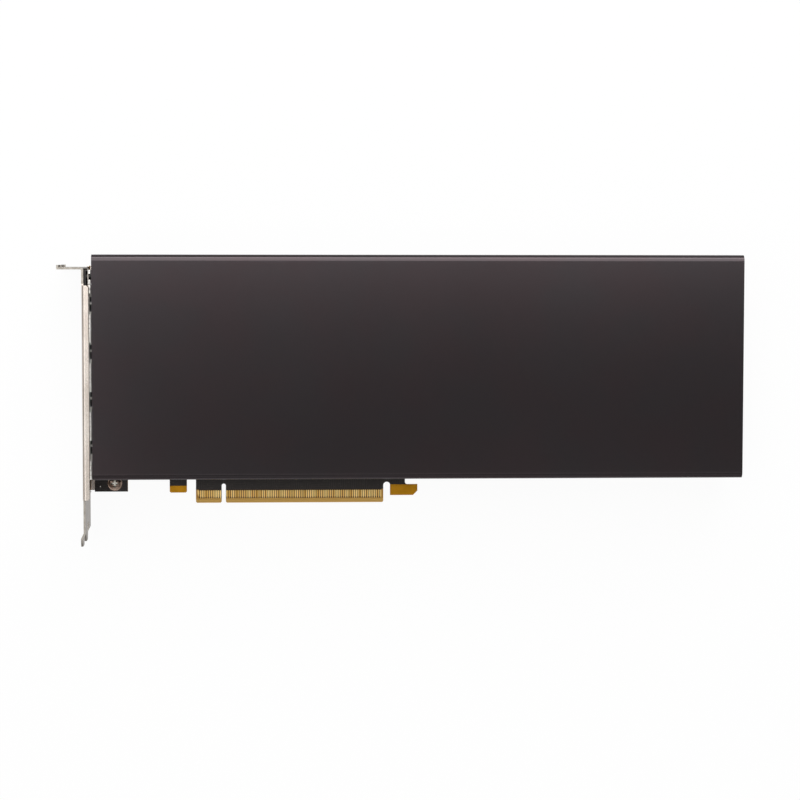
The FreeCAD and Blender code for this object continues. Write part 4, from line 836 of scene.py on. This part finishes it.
# ------------------------------------------------------------------------------ bracket and ports
@dataclass
class BracketEnd:
    """The slot bracket, its screws and brace, and the video ports behind it.

    Sizes are in millimetres. The window clearances say how far the strip's bumps and the comb's fingers
    stay from a port's middle, and the brace's arm is the stretch of Y where the comb makes room for it.
    """

    sheared_width: tuple[float, float] = (0.55, 0.95)
    sheet_edge: float = 0.12
    port_edge: float = 0.08
    blade_half: float = 0.5
    pin_count: int = 10
    pin_pitch: float = 1.0
    pin_width: float = 0.42
    pin_length: float = 8.5
    pin_proud: float = 0.06
    pin_inset: float = 0.4
    pin_edge: float = 0.02
    bump_pitch: float = 2.15
    bump_radius: float = 0.75
    bump_height: float = 0.45
    bump_inset: float = 1.3
    bump_sink: float = 0.1
    bump_window_clear: float = 6.2
    comb_reach: float = 1.55
    comb_spine: float = 0.35
    comb_slot: float = 0.4
    comb_drop: float = 1.1
    comb_sheet: float = 0.12
    comb_crown: float = 0.28
    comb_clear: float = 0.05
    comb_past_strip: float = 7.6
    comb_cuts: int = 7
    comb_window_clear: float = 4.2
    brace_arm: tuple[float, float] = (101.4, 104.2)

    def plate(self) -> None:
        """Make the bracket: plated faces, and duller metal where the sheet was sheared."""
        mould = Mould.of("io_bracket")
        narrow, wide = self.sheared_width
        mould.paint(1, [face for face in mould.mesh.faces
                        if narrow * MM < 2 * face.calc_area() / face.calc_perimeter() < wide * MM])
        mould.soften(self.sheet_edge * MM, 3)
        mould.deliver("slot_bracket", [Finishes.BRACKET, Finishes.SHEARED], ["io_bracket"])

    def ports(self) -> None:
        """Make each port's shell and insulator, and the contacts on the blades."""
        pins = Mould()
        for number in PORT_NUMBERS:
            shell, core = f"video_port_shell_{number}", f"video_port_core_{number}"
            softened(shell, f"port_shell_{number}", Finishes.PORT_STEEL, self.port_edge)
            softened(core, f"port_insulator_{number}", Finishes.PLASTIC, self.port_edge)
            shell_low, shell_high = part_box(shell)
            core_low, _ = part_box(core)
            middle = (shell_low + shell_high) / 2
            half = Vector((0.0, self.pin_width / 2, self.pin_proud)) * MM
            run = Vector((self.pin_length * MM, 0.0, 0.0))
            for face in (-1, 1):
                for pin in range(self.pin_count):
                    y = middle.y + (pin - (self.pin_count - 1) / 2) * self.pin_pitch * MM
                    z = middle.z + face * self.blade_half * MM
                    start = Vector((core_low.x + self.pin_inset * MM, y, z))
                    pins.block(start - half, start + half + run, self.pin_edge * MM, 1)
        pins.deliver("port_contact_pins", [Finishes.CONTACT_GOLD])

    @staticmethod
    def past_ports(place: float, clear: float) -> bool:
        """Say whether a place along Y is further than a clearance from the middle of every port."""
        middles = [sum(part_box(f"video_port_shell_{n}"), Vector()).y / 2 for n in PORT_NUMBERS]
        return all(abs(place - middle) > clear * MM for middle in middles)

    def sprung_strip(self) -> None:
        """Make the grounding strip, with a pressed bump on each of its fingers."""
        mould = Mould.of("ground_strip")
        low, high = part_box("ground_strip")
        flat = Matrix.Diagonal((1.0, 1.0, self.bump_height / self.bump_radius, 1.0))
        place = low.y + self.bump_pitch * MM / 2
        while place < high.y:
            if self.past_ports(place, self.bump_window_clear):
                centre = Vector((low.x + self.bump_inset * MM, place, high.z - self.bump_sink * MM))
                bmesh.ops.create_uvsphere(mould.mesh, u_segments=12, v_segments=8,
                                          radius=self.bump_radius * MM,
                                          matrix=Matrix.Translation(centre) @ flat)
            place += self.bump_pitch * MM
        mould.deliver("sprung_ground_strip", [Finishes.PORT_STEEL], ["ground_strip"])

    def comb_finger(self, mould: Mould, low: Vector, high: Vector) -> None:
        """Add one finger of the comb: a strip of sheet that arches between its root and its tip.

        Args:
            mould: the comb so far.
            low: the lowest corner of the strip while it is flat.
            high: its highest corner.
        """
        reach = high.x - low.x
        edges = {e for v in mould.block(low, high) for e in v.link_edges}
        along = [e for e in edges if abs(e.verts[0].co.x - e.verts[1].co.x) > reach / 2]
        split = bmesh.ops.subdivide_edges(mould.mesh, edges=along, cuts=self.comb_cuts, use_grid_fill=True)
        for vert in {g for g in split["geom"] if isinstance(g, bmesh.types.BMVert)}:
            vert.co.z += self.comb_crown * MM * math.sin(math.pi * (vert.co.x - low.x) / reach)

    def edge_comb(self) -> None:
        """Make the comb of sprung fingers that closes the slit between the bracket's lip and the cover."""
        mould = Mould()
        cover_low, cover_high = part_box("cover")
        strip_low, strip_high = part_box("ground_strip")
        tip = cover_low.x - self.comb_clear * MM
        root = tip - self.comb_reach * MM
        top = cover_high.z - self.comb_drop * MM
        bottom = top - self.comb_sheet * MM
        start = cover_low.y + self.comb_slot * MM
        end = strip_high.y + self.comb_past_strip * MM
        mould.block((root, start, bottom), (root + self.comb_spine * MM, end, top))
        mould.paint(1, mould.mesh.faces)
        arm_low, arm_high = self.brace_arm
        half = (self.bump_pitch - self.comb_slot) * MM / 2
        place = strip_low.y + self.bump_pitch * MM
        while place + half < end:
            at_arm = arm_low * MM < place < arm_high * MM
            if not at_arm and self.past_ports(place, self.comb_window_clear):
                low, high = Vector((root, place - half, bottom)), Vector((tip, place + half, top))
                self.comb_finger(mould, low, high)
            place += self.bump_pitch * MM
        mould.deliver("edge_comb", [Finishes.PORT_STEEL, Finishes.SHEARED])

    def build(self) -> None:
        """Make the bracket end."""
        self.plate()
        softened("bracket_brace", "angle_brace", Finishes.BLACK_STEEL, self.sheet_edge)
        softened("brace_rivets", "brace_rivet_set", Finishes.SCREW_STEEL, self.port_edge)
        FootScrews().build()
        self.ports()
        self.sprung_strip()
        self.edge_comb()


# ------------------------------------------------------------------------------ cooling core
@dataclass
class CoolingCore:
    """The heat sink and what it cools, which shows only through the openings."""

    machined_edge: float = 0.15

    def build(self) -> None:
        """Finish the fins, the plates and the parts under them."""
        softened("heat_sink_base", "machined_base", Finishes.MACHINED, self.machined_edge)
        softened("rear_cooling_plate", "machined_rear_plate", Finishes.MACHINED, self.machined_edge)
        for node, finish in (("fin_stack", Finishes.FIN), ("rear_fin_stack", Finishes.FIN),
                             ("vapour_chamber", Finishes.COPPER), ("gpu_substrate", Finishes.SUBSTRATE),
                             ("gpu_stiffener", Finishes.STIFFENER), ("gpu_die", Finishes.SILICON),
                             ("thermal_interface", Finishes.PAD), ("memory_chips", Finishes.CHIP),
                             ("memory_pads", Finishes.PAD), ("power_stages", Finishes.CHIP),
                             ("power_stage_pad", Finishes.PAD), ("chip_capacitors", Finishes.CHIP),
                             ("choke_pads", Finishes.PAD)):
            dress_node(node, finish)
        softened("chokes", "pressed_chokes", Finishes.CHOKE, self.machined_edge)


# ------------------------------------------------------------------------------ tail end
@dataclass
class TailEnd:
    """The tail frame and what shows through its windows. Sizes are in millimetres."""

    frame_edge: float = 0.15
    moulded_edge: float = 0.2
    can_steps: int = 44
    can_rim: float = 0.6
    can_rim_steps: int = 5
    can_rim_width: float = 0.3
    can_foot: float = 0.2
    can_dish: float = 0.12
    groove_rise: float = 1.76
    groove_width: float = 0.9
    groove_depth: float = 0.35
    groove_floor: float = 0.3
    chip_length: float = 1.6
    chip_width: float = 0.8
    chip_height: float = 0.75
    chip_cap: float = 0.35
    chip_edge: float = 0.06
    chip_pitch: float = 3.4
    chip_first: float = 0.8
    chip_stagger: float = 0.25
    chip_columns: tuple[float, ...] = (4.2, 9.0, 13.6)
    body_share: float = 0.98
    body_height_share: float = 0.96

    def cans(self) -> None:
        """Turn the upright capacitors: a waist above the foot, a rolled rim and a dished top."""
        mould = Mould()
        rim, chamfer = self.can_rim * MM, self.can_foot * MM
        groove, half = self.groove_rise * MM, self.groove_width * MM / 2
        level = half * self.groove_floor
        for low, high in islands("can_capacitors"):
            radius, height = (high.x - low.x) / 2, high.z - low.z
            waist, dish = radius - self.groove_depth * MM, height - self.can_dish * MM
            arc = [(radius - rim + rim * math.cos(a), height - rim + rim * math.sin(a))
                   for a in quarter_turn(self.can_rim_steps)]
            profile = [(0.0, 0.0), (radius - chamfer, 0.0), (radius, chamfer), (radius, groove - half),
                       (waist, groove - level), (waist, groove + level), (radius, groove + half), *arc,
                       (radius - rim - self.can_rim_width * MM, dish), (0.0, dish)]
            mould.lathe(profile, axis_point(low, high, low.z), self.can_steps)
        mould.deliver("polymer_cans", [Finishes.CAN], ["can_capacitors"], outwards=True)

    def chip(self, mould: Mould, centre: Vector, along: Vector) -> None:
        """Add one chip capacitor: a body, and a tinned cap at each end.

        Args:
            mould: the parts so far.
            centre: the middle of its foot on the board.
            along: the direction of its length.
        """
        across = Vector((along.y, along.x, 0.0))
        length, side = self.chip_length * MM / 2, across * self.chip_width * MM / 2
        half = along * length + side
        top = Vector((0.0, 0.0, self.chip_height * MM))
        edge = self.chip_edge * MM
        mould.block(centre - half * self.body_share,
                    centre + half * self.body_share + top * self.body_height_share, edge, 1)
        body_end = len(mould.mesh.faces)
        reach = along * (self.chip_cap * MM / 2)
        for way in (-1, 1):
            middle = centre + along * way * (length - self.chip_cap * MM / 2)
            mould.block(middle - reach - side, middle + reach + side + top, edge, 1)
        mould.mesh.faces.ensure_lookup_table()
        mould.paint(1, mould.mesh.faces[body_end:])

    def small_parts(self) -> None:
        """Set out the chip capacitors on the board between the fins and the frame.

        One place in five stays empty, and one part in three lies along X.
        """
        mould = Mould()
        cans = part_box("can_capacitors")
        board_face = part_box("circuit_board")[1].z
        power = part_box("power_connector")
        rows = math.floor((cans[1].y - power[1].y) / (self.chip_pitch * MM))
        for column, offset in enumerate(self.chip_columns):
            first = self.chip_first + self.chip_stagger * (column % 2)
            for row in range(rows):
                if (row * 7 + column * 3) % 5 == 4:
                    continue
                y = power[1].y + (row + first) * self.chip_pitch * MM
                along = Vector((1.0, 0.0, 0.0)) if (row + column) % 3 == 0 else Vector((0.0, 1.0, 0.0))
                self.chip(mould, Vector((cans[1].x + offset * MM, y, board_face)), along)
        mould.deliver("chip_parts", [Finishes.CERAMIC, Finishes.TIN])

    def build(self) -> None:
        """Make the tail end."""
        softened("tail_frame", "tail_stiffening_frame", Finishes.BLACK_STEEL, self.frame_edge)
        softened("tail_bosses", "threaded_bosses", Finishes.NICKEL_BOSS, self.frame_edge)
        softened("can_capacitor_bases", "can_feet", Finishes.PLASTIC, self.frame_edge)
        softened("power_connector", "power_socket", Finishes.PLASTIC, self.moulded_edge)
        softened("power_connector_pins", "power_socket_pins", Finishes.TIN, self.frame_edge)
        self.cans()
        self.small_parts()


# ------------------------------------------------------------------------------ studio
@dataclass(frozen=True)
class Softbox:
    """A rectangular lamp: its middle, the point it faces, its width and height, and its watts."""

    name: str
    place: tuple[float, float, float]
    aim: tuple[float, float, float]
    size: tuple[float, float]
    power: float

    def hang(self) -> None:
        """Put the lamp in the scene."""
        lamp = bpy.data.lights.new(self.name, "AREA")
        lamp.shape = "RECTANGLE"
        lamp.size, lamp.size_y = self.size
        lamp.energy = self.power
        holder = bpy.data.objects.new(self.name, lamp)
        holder.location = self.place
        holder.rotation_euler = (Vector(self.aim) - Vector(self.place)).to_track_quat("-Z", "Y").to_euler()
        bpy.context.scene.collection.objects.link(holder)


SOFTBOXES = (
    Softbox("key_softbox", (0.1, 0.7, 1.175), (0.1, -0.21, 0.0), (1.2, 1.39), 14.3),
    Softbox("strip_softbox", (0.35, 1.35, 0.62), (0.1, 0.1, 0.0), (1.5, 0.45), 9.6),
    Softbox("left_softbox", (-0.74, 0.0, 1.2), (0.0, 0.05, 0.0), (0.9, 1.2), 3.9),
    Softbox("fill_softbox", (0.1, -0.4, 1.45), (0.1, 0.0, 0.0), (2.0, 0.4), 1.7),
    Softbox("front_softbox", (0.1, -1.3, 0.8), (0.1, 0.0, 0.0), (2.0, 0.9), 2.1),
)


@dataclass
class Studio:
    """The floor, the lights and the camera. Sizes are in metres and angles in degrees."""

    floor_side: float = 14.0
    floor_middle: tuple[float, float] = (0.1, 0.05)
    floor_tone: str = "f4f4f4"
    floor_roughness: float = 0.9
    camera_place: tuple[float, float, float] = (0.0202, 0.1142, 1.0842)
    camera_tilt: float = 3.559
    camera_turn: float = 3.168
    camera_roll: float = -0.072
    lens: float = 107.482
    clip: tuple[float, float] = (0.01, 50.0)
    fill: float = 0.17
    floor_share: float = 0.95

    def seen_or_mirrored(self, recipe: Recipe) -> Flow:
        """Give 1 for rays from the camera and for mirrored and refracted ones."""
        seen = recipe.node("ShaderNodeLightPath", output="Is Camera Ray")
        return seen.most(seen.sibling("Is Glossy Ray")).most(seen.sibling("Is Transmission Ray"))

    def floor(self) -> None:
        """Lay a pale floor under the card that keeps a soft shadow and shows white."""
        recipe = Recipe("studio_floor")
        recipe.dress(Base_Color=linear(self.floor_tone), Roughness=self.floor_roughness)
        glow = recipe.node("ShaderNodeEmission", None, {"Color": linear("ffffff"), "Strength": 1.0})
        share = self.seen_or_mirrored(recipe) * self.floor_share
        mixed = recipe.node("ShaderNodeMixShader", None, {0: share, 1: recipe.shader, 2: glow})
        recipe.feed(recipe.surface, mixed)
        mould = Mould()
        middle = Matrix.Translation((*self.floor_middle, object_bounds()[0].z))
        bmesh.ops.create_grid(mould.mesh, x_segments=1, y_segments=1, size=self.floor_side / 2, matrix=middle)
        floor = mould.loose("floor")
        floor.data.materials.append(recipe.material)
        floor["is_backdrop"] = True

    def world(self) -> None:
        """Surround the card with an even, dim grey."""
        world = bpy.data.worlds.new("studio")
        bpy.context.scene.world = world
        world.use_nodes = True
        ground = world.node_tree.nodes["Background"]
        ground.inputs["Color"].default_value = linear("ffffff")
        ground.inputs["Strength"].default_value = self.fill

    def camera(self) -> None:
        """Set the camera over the card, a little off square to its face."""
        lens = bpy.data.cameras.new("camera")
        lens.lens = self.lens
        lens.clip_start, lens.clip_end = self.clip
        camera = bpy.data.objects.new("camera", lens)
        turn = Matrix.Rotation(math.radians(self.camera_roll), 3, "Z")
        turn = turn @ Matrix.Rotation(math.radians(self.camera_tilt), 3, "X")
        turn = turn @ Matrix.Rotation(math.radians(self.camera_turn), 3, "Y")
        camera.matrix_world = Matrix.Translation(self.camera_place) @ turn.transposed().to_4x4()
        bpy.context.scene.collection.objects.link(camera)
        bpy.context.scene.camera = camera

    def build(self) -> None:
        """Set up the studio."""
        bpy.context.scene.view_settings.view_transform = "Standard"
        self.floor()
        self.world()
        for softbox in SOFTBOXES:
            softbox.hang()
        self.camera()


def main() -> None:
    """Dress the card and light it."""
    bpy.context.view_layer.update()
    for section in (Enclosure(), Board(), BracketEnd(), CoolingCore(), TailEnd()):
        log.info("-- %s", type(section).__name__)
        section.build()
    Studio().build()
    bpy.context.view_layer.update()


if __name__ == "__main__":
    main()
